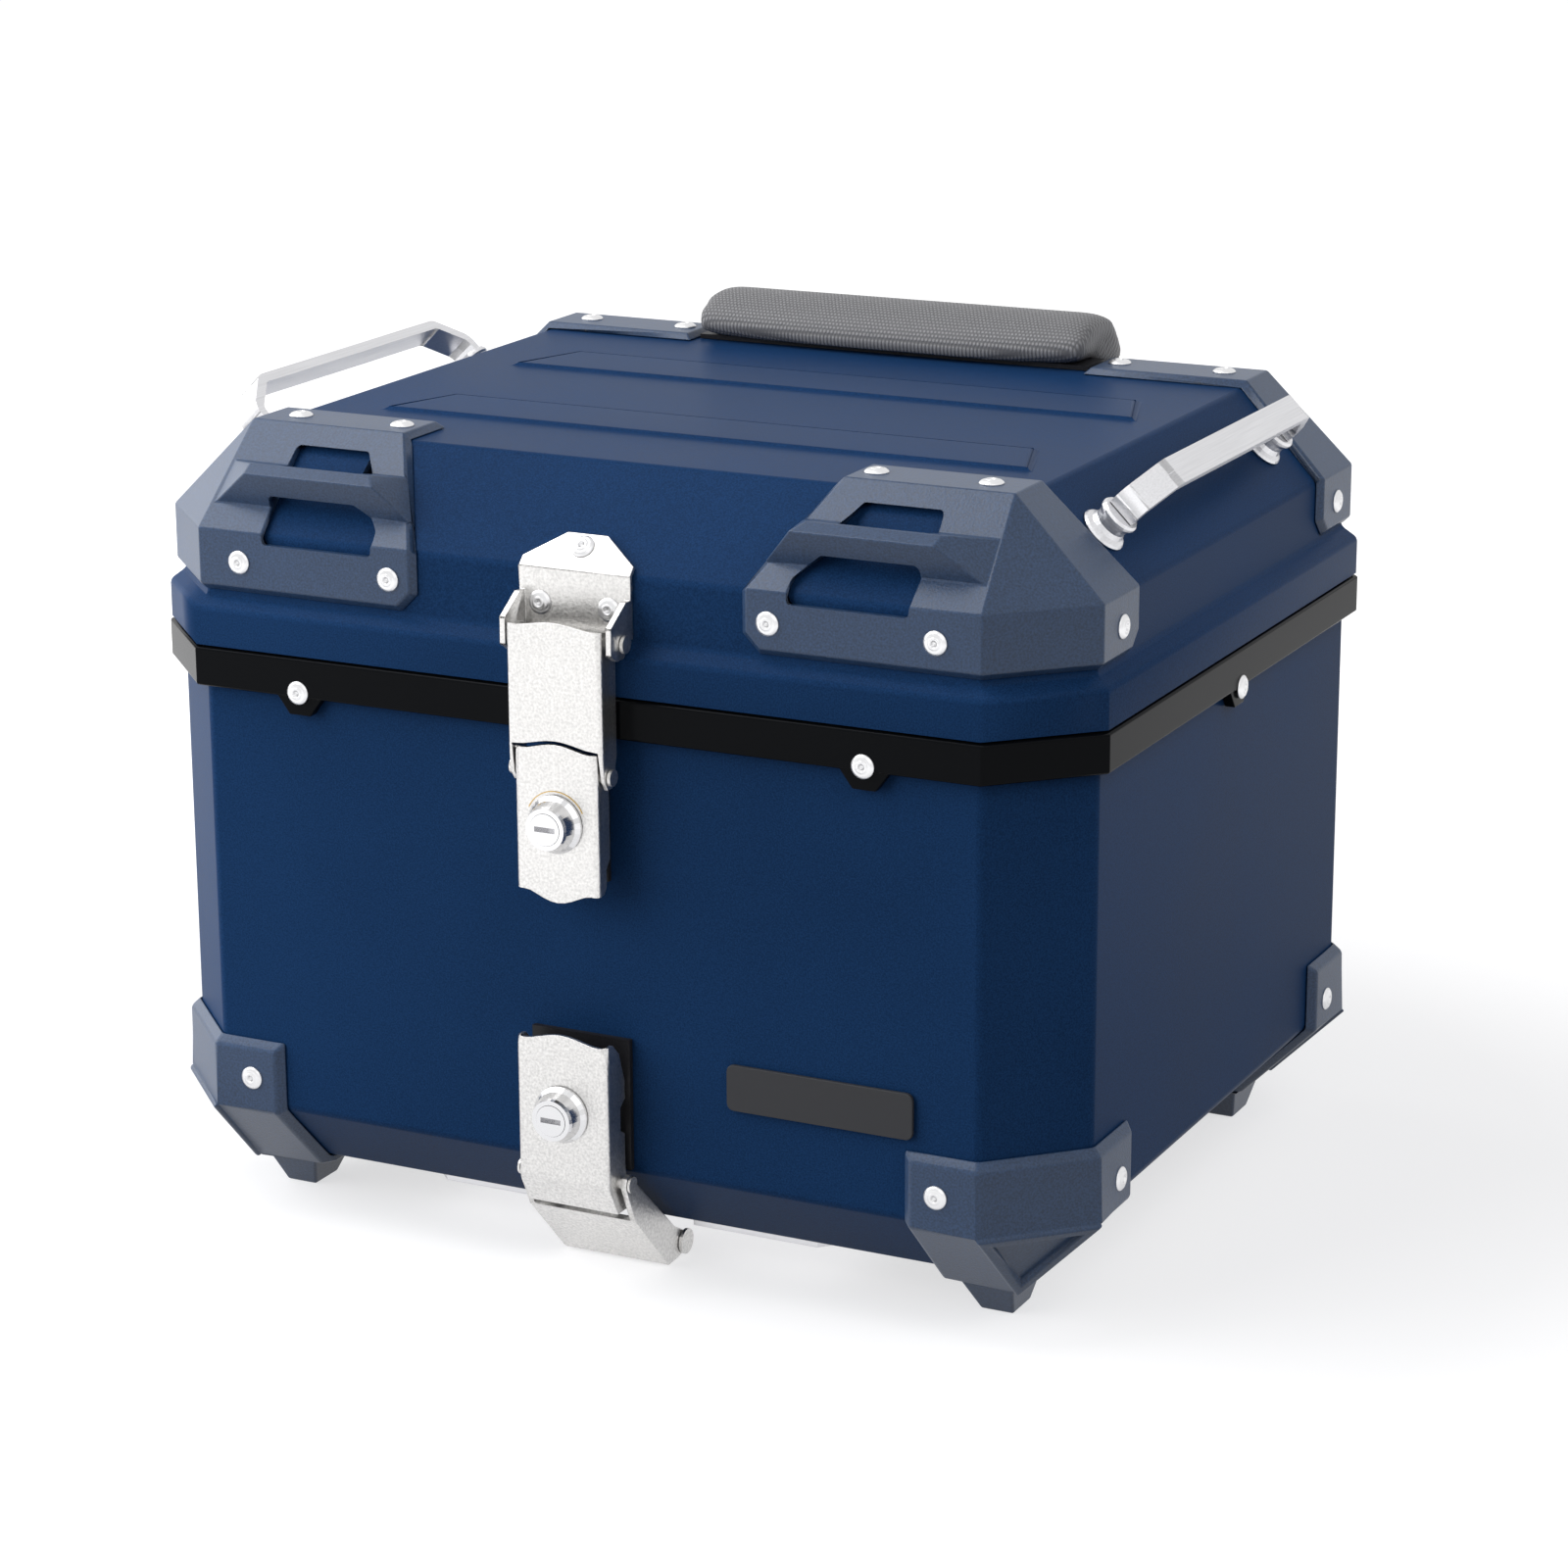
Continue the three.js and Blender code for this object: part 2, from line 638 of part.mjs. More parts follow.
// The lid's back, as a path of [y, z] at a distance outside it.
function backPath(out, topY, lowZ) {
  const y = lidWallY + out;
  const shoulder = y - lidSlope - out + out * bend;
  return [[topY, lidTop + out], [shoulder, lidTop + out], [y, lidKnee + out * bend], [y, lowZ]];
}

// Half the pad's width: it narrows down the shoulder between the rear guards.
function padHalf(z) {
  const grow = seat + guardSheet;
  const low = lidWallX + grow - guardReachX - padSide - guardSheet;
  const high = lidWallX + grow - guardTopReachX - padSide;
  return THREE.MathUtils.clamp(low + (high - low) * (z - lidKnee) / lidSlope, low, high);
}

function padSolid(outline) {
  const half = padHalf(lidTop + 50);
  const low = padHalf(0);
  const bottom = lidTop - padDrop - 10;
  const keep = prism('y', [[-low, bottom], [low, bottom], [low, lidKnee], [half, lidTop], [half, lidTop + 50],
    [-half, lidTop + 50], [-half, lidTop], [-low, lidKnee]], 0, caseDepth);
  return prism('x', outline, -half, half).intersect(keep);
}

function backrestPlate() {
  return padSolid(strip(backPath(seat, padFrontY + 6, lidTop - padDrop + 6), wall));
}

function backrestPad() {
  const out = 2 * seat + wall;
  const inner = backPath(out, padFrontY, lidTop - padDrop);
  const y = lidWallY + out;
  const outline = [
    ...inner,
    [y + 7, lidTop - padDrop], [y + 13, lidTop - padDrop + 6], [y + 14.5, lidKnee],
    [y + 8, lidTop - 24], [y - 12, lidTop + 7], [y - 22, padTop - 5], [y - 31, padTop - 0.5],
    [y - 44, padTop], [padFrontY + 12, padTop - 2], [padFrontY + 3, padTop - 8],
    [padFrontY - 1.5, padTop - 15],
  ];
  return padSolid(outline);
}

// ---- lid latch -------------------------------------------------------------------------------------

function latchBracket() {
  const y = -lidWallY - seat;
  const sheet = 2.3;
  const knee = lidKnee + seat * bend;
  const foot = lidWallFoot + 1.5;
  const plate = box([-25, y - sheet, foot], [25, y, knee]);
  const lift = 9;
  const tongue = hull([0, sheet].flatMap(t => {
    const py = y - t * diagonal;
    const pz = knee + t * diagonal;
    const widths = [[25, -1], [25, 2.5], [9, lift + 2.5]];
    return widths.flatMap(([x, s]) => [[x, py + s, pz + s], [-x, py + s, pz + s]]);
  }));
  const corner = hull([-25, 25].flatMap(x => [
    [x, y, knee - 0.5], [x, y - sheet, knee - 0.5], [x, y - sheet, knee + sheet * bend],
    [x, y + 1.5, knee + 1.5], [x, y + 1.5 - sheet * diagonal, knee + 1.5 + sheet * diagonal],
  ]));
  const ear = rounded([
    [y - 1, knee - 9], [y - 6, knee - 9], [latchFaceY + 2, knee - 17], [latchFaceY + 2, upperPivotZ - 3],
    [upperPivotY - 5, upperPivotZ - 6], [upperPivotY + 0.5, upperPivotZ - 6], [y - 1, foot + 1],
  ], 1.2, 2);
  const hole = rod('x', [upperPivotY, upperPivotZ], pinRadius + pinClear, -30, 30);
  const ears = prism('x', ear, -25, -22.5).add(prism('x', ear, 22.5, 25)).subtract(hole);
  return plate.add(tongue).add(corner).add(ears).subtract(lidBody(seat, skirtRidge - 20));
}

// A pressed cover: a face sheet with two side walls. Sides are outlines of [y, z].
function cover(half, faceOutline, sideOutline) {
  const face = prism('y', faceOutline, latchFaceY, latchFaceY + coverSheet);
  const left = prism('x', sideOutline, -half, coverSheet - half);
  const right = prism('x', sideOutline, half - coverSheet, half);
  return face.add(left).add(right);
}

// A wave along a cover's edge: level, with a low bulge in the middle.
function bulge(half, level, height) {
  const steps = 12;
  return Array.from({ length: steps + 1 }, (_, i) => {
    const x = half * (1 - 2 * i / steps);
    return [x, level + height * Math.max(0, Math.cos(x / half * 2)) ** 1.5];
  });
}

function latchLink() {
  const top = upperPivotZ + 6.5;
  const bottom = lowerPivotZ + 11.3;
  const faceOutline = [...bulge(latchHalf, top, 2), ...bulge(-latchHalf, bottom, 2.6)];
  const back = upperPivotY + 0.5;
  const eye = 4.9;
  const side = [
    [latchFaceY, top], [upperPivotY, upperPivotZ + eye], [upperPivotY + eye, upperPivotZ + 1.5],
    [upperPivotY + eye, upperPivotZ - 2], [back, upperPivotZ - 5.5], [back, lowerPivotZ + 8],
    [lowerPivotY + eye, lowerPivotZ + 3], [lowerPivotY + eye, lowerPivotZ - 2.5],
    [lowerPivotY + 2, lowerPivotZ - eye], [lowerPivotY - 2, lowerPivotZ - eye],
    [latchFaceY + 2, lowerPivotZ - 1], [latchFaceY, bottom],
  ];
  const upper = rod('x', [upperPivotY, upperPivotZ], pinRadius + pinClear, -30, 30);
  const lower = rod('x', [lowerPivotY, lowerPivotZ], pinRadius + pinClear, -30, 30);
  return cover(latchHalf, faceOutline, side).subtract(upper).subtract(lower);
}

function latchLever() {
  const top = lowerPivotZ + 9.9;
  const bottom = top - leverLength - 4.5;
  const faceOutline = [...bulge(leverHalf, top, 2.6), ...bulge(-leverHalf, bottom, -4.5)];
  const back = lowerPivotY + 3.5;
  const side = [
    [latchFaceY, bottom], [latchFaceY, top], [lowerPivotY - 2, top - 1.5], [back, lowerPivotZ + 4],
    [back, bottom + 14], [back - 3, bottom + 10], [back - 3, bottom + 3], [back - 5, bottom],
  ];
  const hole = rod('x', [lowerPivotY, lowerPivotZ], pinRadius + pinClear, -30, 30);
  return cover(leverHalf, faceOutline, side).subtract(hole).subtract(lockBore(latchLockZ));
}

function lockBore(z) {
  return rod('y', [0, z], lockBarrel + seat, latchFaceY - 3, latchFaceY + 6, 24);
}

// A lock's bezel and barrel, open at the front for the key plug and at the back for its cam.
function lockBody(z) {
  const face = latchFaceY - seat;
  const flange = turned([
    [0, 0], [lockRadius, 0], [lockRadius, 1.2], [lockRadius - 1.6, 3], [lockFace + 0.6, 7.6],
    [lockFace, lockLength], [0, lockLength],
  ], 32);
  flange.rotateX(Math.PI / 2);
  flange.translate(0, face, z);
  const barrel = rod('y', [0, z], lockBarrel, face - 1, latchFaceY + coverSheet + 5, 24);
  const bore = rod('y', [0, z], plugRadius + plugClear, face - lockLength - 1, latchFaceY + 20, 24);
  return solidOf(flange).add(barrel).subtract(bore);
}

function keyPlug(z) {
  const front = latchFaceY - seat - lockLength - 0.2;
  const plug = rod('y', [0, z], plugRadius, front, latchFaceY + coverSheet + 5.5, 24);
  const slot = box([-4.6, front - 1, z - 1.1], [4.6, front + 6, z + 1.1]);
  return plug.subtract(slot);
}

function plainPin(y, z, middle, half) {
  return rod('x', [y, z], pinRadius, middle - half, middle + half);
}

// A pin across the case's middle with a head at each end.
function crossPin(y, z, half, headRadius) {
  const head = 1.4;
  const pin = rod('x', [y, z], pinRadius, -half, half);
  const left = rod('x', [y, z], headRadius, -half - head, -half);
  const right = rod('x', [y, z], headRadius, half, half + head);
  return pin.add(left).add(right);
}

// The catch on the box that the lever's lock closes on: a plate with a block that fits inside the lever.
function latchKeeper() {
  const back = -boxWallY - seat;
  const top = lowerPivotZ - 7;
  const bottom = lowerPivotZ - leverLength + 7;
  const plate = box([-14, back - 2.2, bottom], [14, back, top]);
  const catchBlock = hull([-1, 1].flatMap(side => [
    [side * 9, back - 2, bottom + 2], [side * 9, back - 2, bottom + 12],
    [side * 7, back - 14, bottom + 5], [side * 7, back - 14, bottom + 10],
  ]));
  return plate.add(catchBlock);
}

// ---- carrier lock ----------------------------------------------------------------------------------

function mountBase() {
  const back = -boxWallY - seat;
  const front = back - 2.4;
  const plate = box([-22.5, front, boxKnee + 1], [22.5, back, mountTop - 1]);
  const arm = [
    [front + 0.5, boxKnee + 12], [front + 0.5, mountPivotZ + 6], [mountPivotY + 4, mountPivotZ],
    [mountPivotY - 3, mountPivotZ + 2.6], [mountPivotY - 2, boxKnee + 6],
  ];
  const hole = rod('x', [mountPivotY, mountPivotZ], pinRadius + pinClear, -30, 30);
  const ears = [[-15.5, -13], [13, 15.5]].map(([from, to]) => {
    return prism('x', arm, from, to).add(rod('x', [mountPivotY, mountPivotZ], 4, from, to)).subtract(hole);
  });
  return plate.add(ears[0]).add(ears[1]);
}

function mountLever() {
  const bottom = boxKnee - 1;
  const tipZ = mountPivotZ - 4.5;
  const back = -boxWallY - 4.5;
  const lock = mountLockZ;
  const faceOutline = [[mountHalf, bottom], ...bulge(mountHalf, mountTop, 3), [-mountHalf, bottom]];
  const tip = latchFaceY + 8;
  const toePath = [[latchFaceY, bottom + 2], [latchFaceY, bottom], [tip, tipZ]];
  const toe = prism('x', strip(toePath, coverSheet), -mountHalf, mountHalf);
  const side = [
    [latchFaceY, mountTop], [latchFaceY, bottom], [tip, tipZ], [mountPivotY + 3, tipZ],
    [mountPivotY + 5.5, mountPivotZ], [mountPivotY + 3.5, mountPivotZ + 8], [back, bottom + 6],
    [back, lock - 10], [back - 3.5, lock - 8], [back - 3.5, lock + 2], [back + 0.5, lock + 5],
    [back + 0.5, mountTop - 18], [back - 4, mountTop - 5], [back - 9, mountTop],
  ];
  const hole = rod('x', [mountPivotY, mountPivotZ], pinRadius + pinClear, -30, 30);
  const stub = rod('x', [hookPivotY, hookPivotZ], pinRadius + pinClear, -30, 30);
  const shell = cover(mountHalf, faceOutline, side).add(toe);
  return shell.subtract(hole).subtract(stub).subtract(lockBore(lock));
}

// The hook's side, as [y, z]: an eye at the pivot, a run beside the box's slope and a pinned end.
function hookSide() {
  return [
    [hookPivotY - 3, hookPivotZ + 3.2], [hookPivotY + 1, hookPivotZ + 4],
    [hookPivotY + 3.6, hookPivotZ + 0.5], [floorFront - 1.5, footHeight - 3.2],
    [floorFront + 9, footHeight - 9], [floorFront + 11, footHeight - 12.5],
    [floorFront + 8, footHeight - 16.6], [hookToe + 8, hookLow + 0.4], [hookToe, hookLow],
    [hookPivotY + 3.5, hookPivotZ - 17.5], [hookPivotY - 4, hookPivotZ - 1],
  ];
}

function carrierHook() {
  const side = hookSide();
  const left = prism('x', side, -hookHalf, hookSheet - hookHalf);
  const right = prism('x', side, hookHalf - hookSheet, hookHalf);
  const webPath = [[hookPivotY + 3.5, hookPivotZ - 17.5], [hookToe, hookLow]];
  const web = prism('x', strip(webPath, hookSheet), 0.5 - hookHalf, hookHalf - 0.5);
  const eye = rod('x', [hookPivotY, hookPivotZ], pinRadius + pinClear, -30, 30);
  const rear = rod('x', [hookPinY, hookPinZ], pinRadius + pinClear, -30, 30);
  return left.add(right).add(web).subtract(eye).subtract(rear);
}

function hookStub(side) {
  const ends = [mountHalf - coverSheet - 1.5, hookHalf + seat].map(x => side * x);
  const outer = [hookHalf + seat, hookHalf + seat + 1].map(x => side * x);
  const pin = rod('x', [hookPivotY, hookPivotZ], pinRadius, Math.min(...ends), Math.max(...ends));
  return pin.add(rod('x', [hookPivotY, hookPivotZ], 3.4, Math.min(...outer), Math.max(...outer)));
}

// ---- hinges ----------------------------------------------------------------------------------------

// Three knuckles share a hinge's width; the box's leaf has the middle one.
function lowerLeaf(x) {
  const y = boxWallY + seat;
  const overBand = caseDepth / 2 + seat;
  const ledge = hingePinZ - knuckleRadius - 2 * seat;
  const path = [[overBand, ledge], [overBand, bandBottom - 5], [y, bandBottom - 12], [y, bandBottom - 44]];
  const half = hingeWidth / 2;
  const middle = hingeWidth / 6 - seat;
  const plate = prism('x', strip(path, hingeSheet), x - half, x + half);
  const neck = box([x - middle, overBand, ledge - 1], [x + middle, overBand + hingeSheet, hingePinZ]);
  const knuckle = rod('x', [hingePinY, hingePinZ], knuckleRadius, x - middle, x + middle);
  return plate.add(neck).add(knuckle).subtract(hingeBore(x));
}

function upperLeaf(x) {
  const y = caseDepth / 2 - skirtInset + seat;
  const ledge = hingePinZ + knuckleRadius + 2 * seat;
  const half = hingeWidth / 2;
  const middle = hingeWidth / 6;
  const plate = box([x - half, y, ledge], [x + half, y + hingeSheet, skirtRidge - 0.5]);
  const parts = [[x - half, x - middle], [x + middle, x + half]].map(([from, to]) => {
    const neck = box([from, y, hingePinZ], [to, y + hingeSheet, ledge + 1]);
    return neck.add(rod('x', [hingePinY, hingePinZ], knuckleRadius, from, to));
  });
  return plate.add(parts[0]).add(parts[1]).subtract(hingeBore(x));
}

function hingeBore(x) {
  return rod('x', [hingePinY, hingePinZ], pinRadius + pinClear, x - hingeWidth, x + hingeWidth);
}

// ---- the case --------------------------------------------------------------------------------------

const latchReach = -latchFaceY + lockLength + seat + 0.2;
const hingeReach = Math.max(hingePinY + knuckleRadius, lidWallY + 2 * seat + wall + 14.5);
const middleY = (hingeReach - latchReach) / 2;

const topCase = new THREE.Group();
topCase.position.y = -middleY;
topCase.add(mesh('box_shell', boxShell(), navy));
topCase.add(mesh('rim_band', rimBand(), gloss));
topCase.add(mesh('rim_seal', rimSeal(), rubber));
topCase.add(mesh('base_plate', basePlate(), blackMetal));
topCase.add(mesh('badge_plate', badgePlate(), greyPlastic));
topCase.add(mesh('lid_shell', lidShell(), navy));
for (const { name, sx, sy } of corners) {
  topCase.add(mesh(`lower_guard_${name}`, lowerGuard(sx, sy), navy));
  topCase.add(mesh(`upper_guard_${name}`, upperGuard(sx, sy), navy));
}
topCase.add(handle(-1), handle(1));
topCase.add(mesh('backrest_plate', backrestPlate(), blackMetal));
topCase.add(mesh('backrest_pad', backrestPad(), leather));
topCase.add(mesh('latch_bracket', latchBracket(), steel));
topCase.add(mesh('latch_hinge_pin', crossPin(upperPivotY, upperPivotZ, 25.3, 3.6), steel));
topCase.add(mesh('latch_link', latchLink(), steel));
topCase.add(mesh('latch_lever_pin', crossPin(lowerPivotY, lowerPivotZ, 21.5, 3.4), steel));
topCase.add(mesh('latch_lever', latchLever(), steel));
topCase.add(mesh('latch_lock_body', lockBody(latchLockZ), steel));
topCase.add(mesh('latch_key_plug', keyPlug(latchLockZ), steel));
topCase.add(mesh('latch_keeper', latchKeeper(), blackMetal));
topCase.add(mesh('mount_lock_base', mountBase(), blackMetal));
topCase.add(mesh('mount_lever', mountLever(), steel));
topCase.add(mesh('mount_lever_pin', plainPin(mountPivotY, mountPivotZ, 0, mountHalf - 0.1), steel));
topCase.add(mesh('mount_lock_body', lockBody(mountLockZ), steel));
topCase.add(mesh('mount_key_plug', keyPlug(mountLockZ), steel));
topCase.add(mesh('carrier_hook', carrierHook(), steel));
topCase.add(mesh('hook_pivot_left', hookStub(-1), steel));
topCase.add(mesh('hook_pivot_right', hookStub(1), steel));
topCase.add(mesh('hook_cross_pin', crossPin(hookPinY, hookPinZ, hookHalf + seat, 5.4), steel));
for (const [word, side] of [['left', -1], ['right', 1]]) {
  const x = side * hingeSpacing / 2;
  topCase.add(mesh(`hinge_lower_leaf_${word}`, lowerLeaf(x), blackMetal));
  topCase.add(mesh(`hinge_upper_leaf_${word}`, upperLeaf(x), blackMetal));
  topCase.add(mesh(`hinge_pin_${word}`, plainPin(hingePinY, hingePinZ, x, hingeWidth / 2 + 0.5), steel));
}

export default topCase;
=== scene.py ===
# %% [markdown]
# # A motorcycle top case: its finishes
#
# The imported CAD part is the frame. This script gives each of its pieces a real surface, rounds the
# edges of the sheet metal and the mouldings, adds the rivets and the lock marks, and pads the backrest.
# Lengths are in metres. +X is the case's right, +Y its back and +Z up.

import bpy
import bmesh
import json
import math
import numpy as np
from mathutils import Matrix, Vector


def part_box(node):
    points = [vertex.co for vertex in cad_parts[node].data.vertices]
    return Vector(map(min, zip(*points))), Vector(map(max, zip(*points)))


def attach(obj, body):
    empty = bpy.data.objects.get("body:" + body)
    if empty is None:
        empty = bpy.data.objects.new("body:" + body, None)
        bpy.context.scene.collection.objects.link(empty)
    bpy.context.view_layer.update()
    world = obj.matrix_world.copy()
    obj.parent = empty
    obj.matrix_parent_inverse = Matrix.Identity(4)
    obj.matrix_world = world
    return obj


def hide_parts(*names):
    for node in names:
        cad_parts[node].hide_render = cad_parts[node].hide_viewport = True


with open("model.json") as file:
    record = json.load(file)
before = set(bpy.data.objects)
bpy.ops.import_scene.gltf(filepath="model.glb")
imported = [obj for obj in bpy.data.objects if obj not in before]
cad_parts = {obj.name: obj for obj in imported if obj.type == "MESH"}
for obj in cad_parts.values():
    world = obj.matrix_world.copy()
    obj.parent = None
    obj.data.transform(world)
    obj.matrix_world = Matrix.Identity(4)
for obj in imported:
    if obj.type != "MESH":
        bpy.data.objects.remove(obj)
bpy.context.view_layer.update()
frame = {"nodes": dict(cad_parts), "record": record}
nodes = frame["nodes"]
bodies = frame["record"]["behaviour"]["bodies"]
body_of = {node: body for body, members in bodies.items() for node in members}
slot_of = {row["node"]: row["material_slot"] for row in frame["record"]["subparts"]}
scene = bpy.context.scene

# %% [markdown]
# ## Writing shaders
#
# A finish is a tree of nodes, which could be wired one link at a time. Here a `Value` is a socket in such
# a tree: Python's own operators on it add Math nodes, and `node` adds any other node, so a pattern reads
# as the sum that it is.


# %% Shader values
class Value:
    def __init__(self, tree, socket):
        self.tree = tree
        self.socket = socket

    def node(self, kind, settings=None, output=0, **inputs):
        """Adds a node. An input is given by its socket's name, or as i0, i1 and so on by its order."""
        added = self.tree.nodes.new(kind)
        for key, setting in (settings or {}).items():
            setattr(added, key, setting)
        for key, given in inputs.items():
            by_order = key[0] == "i" and key[1:].isdigit()
            socket = added.inputs[int(key[1:]) if by_order else key]
            if isinstance(given, Value):
                self.tree.links.new(given.socket, socket)
            else:
                socket.default_value = given
        return Value(self.tree, added.outputs[output])

    def math(self, operation, *others):
        inputs = {f"i{k}": v for k, v in enumerate((self,) + others)}
        return self.node("ShaderNodeMath", {"operation": operation}, **inputs)

    def __add__(self, other):
        return self.math("ADD", other)

    def __sub__(self, other):
        return self.math("SUBTRACT", other)

    def __rsub__(self, other):
        return self.node("ShaderNodeMath", {"operation": "SUBTRACT"}, i0=other, i1=self)

    def __mul__(self, other):
        return self.math("MULTIPLY", other)

    def __truediv__(self, other):
        return self.math("DIVIDE", other)

    def __rtruediv__(self, other):
        return self.node("ShaderNodeMath", {"operation": "DIVIDE"}, i0=other, i1=self)

    __radd__ = __add__
    __rmul__ = __mul__

    def between(self, low, high):
        ramp = {"From Min": low, "From Max": high}
        return self.node("ShaderNodeMapRange", None, 0, Value=self, **ramp)

    def part(self, axis):
        return self.node("ShaderNodeSeparateXYZ", None, "XYZ".index(axis), Vector=self)

    def noise(self, scale, detail=2.0, rough=0.5):
        more = {"Scale": scale, "Detail": detail, "Roughness": rough}
        return self.node("ShaderNodeTexNoise", None, "Fac", Vector=self, **more)

    def stretched(self, x, y, z):
        return self.node("ShaderNodeMapping", None, 0, Vector=self, Scale=(x, y, z))

    def mixed(self, low, high):
        return self.node("ShaderNodeMix", {"data_type": "RGBA"}, 2, i0=self, i6=(*low, 1), i7=(*high, 1))


def finish(name, colour, rough, metal=0.0, **constants):
    """A material with its constants set, its shader, and the place on the piece that patterns start from."""
    made = bpy.data.materials.new(name)
    made.use_nodes = True
    tree = made.node_tree
    shader = tree.nodes["Principled BSDF"]
    shader.inputs["Base Color"].default_value = (*colour, 1)
    shader.inputs["Roughness"].default_value = rough
    shader.inputs["Metallic"].default_value = metal
    for key, setting in constants.items():
        shader.inputs[key.replace("_", " ")].default_value = setting
    place = Value(tree, tree.nodes.new("ShaderNodeTexCoord").outputs["Object"])
    return made, shader, place


def feed(shader, socket, value):
    value.tree.links.new(value.socket, shader.inputs[socket])


def bump(shader, height, depth):
    lifted = height.node("ShaderNodeBump", None, 0, Height=height, Distance=depth, Strength=1.0)
    feed(shader, "Normal", lifted)


# %% [markdown]
# ## Coats on sheet and mouldings
#
# The box and lid are powder-coated sheet, and the guards are mouldings with a coarser grain. An image could
# carry the grain, but a noise on the piece's own place has no seams. It varies the colour and roughness
# and lifts the surface a little, so that the sheen breaks up into small glints.


# %% Coats
def coat(name, colour, rough, gleam, grain=1500.0, depth=0.00005, spread=0.25):
    made, shader, place = finish(name, colour, rough, Specular_IOR_Level=gleam)
    fine = place.noise(grain, 1.5)
    cloud = place.noise(9.0, 2.0)
    tone = fine * 0.75 + cloud * 0.25
    low = [c * (1 - spread) for c in colour]
    high = [c * (1 + spread) for c in colour]
    feed(shader, "Base Color", tone.between(0.35, 0.65).mixed(low, high))
    feed(shader, "Roughness", cloud * 0.08 + fine * 0.1 + (rough - 0.09))
    bump(shader, fine, depth)
    return made


# %% [markdown]
# ## Bare metals
#
# The latch is blasted steel and the handles are brushed aluminium. Both are made from noise: even in all
# directions it reads as blasting, and stretched along one axis it reads as scratches.


# %% Metals
def blasted(name, colour, rough, depth=0.00012):
    made, shader, place = finish(name, colour, rough, 1.0)
    fine = place.noise(900.0, 2.0)
    worn = place.noise(30.0, 3.0)
    feed(shader, "Roughness", fine * 0.18 + worn * 0.1 + (rough - 0.14))
    feed(shader, "Base Color", fine.between(0.3, 0.7).mixed([c * 0.72 for c in colour], colour))
    bump(shader, fine, depth)
    return made


def brushed(name, colour, rough, along):
    """Fine scratches that run along one axis: the noise is stretched that way."""
    made, shader, place = finish(name, colour, rough, 1.0)
    scale = [1.0 if axis == along else 60.0 for axis in "XYZ"]
    lines = place.stretched(*scale).noise(25.0, 3.0, 0.6)
    feed(shader, "Roughness", lines * 0.25 + (rough - 0.12))
    feed(shader, "Base Color", lines.between(0.3, 0.7).mixed([c * 0.85 for c in colour], colour))
    bump(shader, lines, 0.00003)
    return made


# %% [markdown]
# ## The pad's leather-cloth
#
# Its small round dimples could be modelled, but there are thousands of them. They are worked out in the
# shader from the cover's own map, so that the rows follow the pad round.


# %% Leather-cloth
def embossed(name, colour, rough, pitch=0.0018):
    """Leather-cloth with rows of small round dimples, every second row moved half a step."""
    made, shader, place = finish(name, colour, rough)
    spot = place.node("ShaderNodeUVMap", {"uv_map": "Cover"})
    across = spot.part("X") / pitch
    along = spot.part("Y") / (pitch * 0.8)
    row = along.math("FLOOR")
    shift = row.math("MODULO", 2.0) * 0.5
    u = (across + shift).math("FRACT") - 0.5
    v = along.math("FRACT") - 0.5
    reach = (u * u + v * v).math("SQRT")
    dome = reach.between(0.18, 0.46)
    feed(shader, "Roughness", dome * 0.22 + (rough - 0.08))
    # Painted shade and highlight: the colour darkens to 0.55 in the low rings between the dimples and
    # lightens a little on their raised middles.
    feed(shader, "Base Color", dome.mixed([c * 1.12 for c in colour], [c * 0.55 for c in colour]))
    crease = place.noise(260.0, 3.0) * 0.25
    bump(shader, crease - dome, 0.00028)
    return made


# %% [markdown]
# ## The list of finishes
#
# Each material slot of the case has one finish, and the rivets and the lock's mark have their own. Small
# or smooth pieces need no pattern.


# %% Finishes
def plain(name, colour, rough, metal=0.0, **constants):
    return finish(name, colour, rough, metal, **constants)[0]


navy = (0.0085, 0.0330, 0.0970)
moulding_navy = (0.0230, 0.0470, 0.1000)
finishes = {
    "navy_coat": coat("Navy_powder_coat", navy, 0.36, 0.02),
    "navy_moulding": coat("Navy_moulding", moulding_navy, 0.36, 0.4, 1100.0, 0.00009, 0.3),
    "black_gloss": plain("Black_gloss_band", (0.003, 0.0035, 0.0045), 0.2, Specular_IOR_Level=0.04),
    "seal_rubber": plain("Seal_rubber", (0.012, 0.012, 0.012), 0.7),
    "black_coat": coat("Black_coat", (0.012, 0.012, 0.014), 0.45, 0.2),
    "grey_plastic": plain("Badge_grey", (0.035, 0.036, 0.040), 0.42, Specular_IOR_Level=0.2),
    "pad_leather": embossed("Pad_leather", (0.19, 0.19, 0.20), 0.42),
    "brushed_aluminium": brushed("Brushed_aluminium", (0.74, 0.74, 0.76), 0.36, "Y"),
    "blasted_steel": blasted("Blasted_steel", (0.80, 0.79, 0.775), 0.36),
    "lock_chrome": plain("Lock_chrome", (0.72, 0.72, 0.73), 0.16, 1.0),
    "rivet": plain("Rivet_steel", (0.76, 0.76, 0.77), 0.34, 1.0),
    "base_sheet": brushed("Base_aluminium", (0.78, 0.78, 0.80), 0.38, "X"),
    "gold": plain("Lock_mark", (0.62, 0.42, 0.14), 0.45, 0.6),
}
print(len(finishes), "finishes")

# %% [markdown]
# ## Rounding the edges
#
# Folded sheet and mouldings have small rounds that catch the light. A Bevel modifier limited by angle would
# round every sharp edge alike, so the bevel is made on chosen edges instead. A CAD piece comes as loose
# triangles: a copy of it is merged and its flat faces are joined up again first. A level face with many
# corners can be a rim with a hole in it, which a bevel may close, so it is split into triangles.


# %% Merging a piece
flat = math.radians(0.6)
rim_corners = 14
level = 0.99


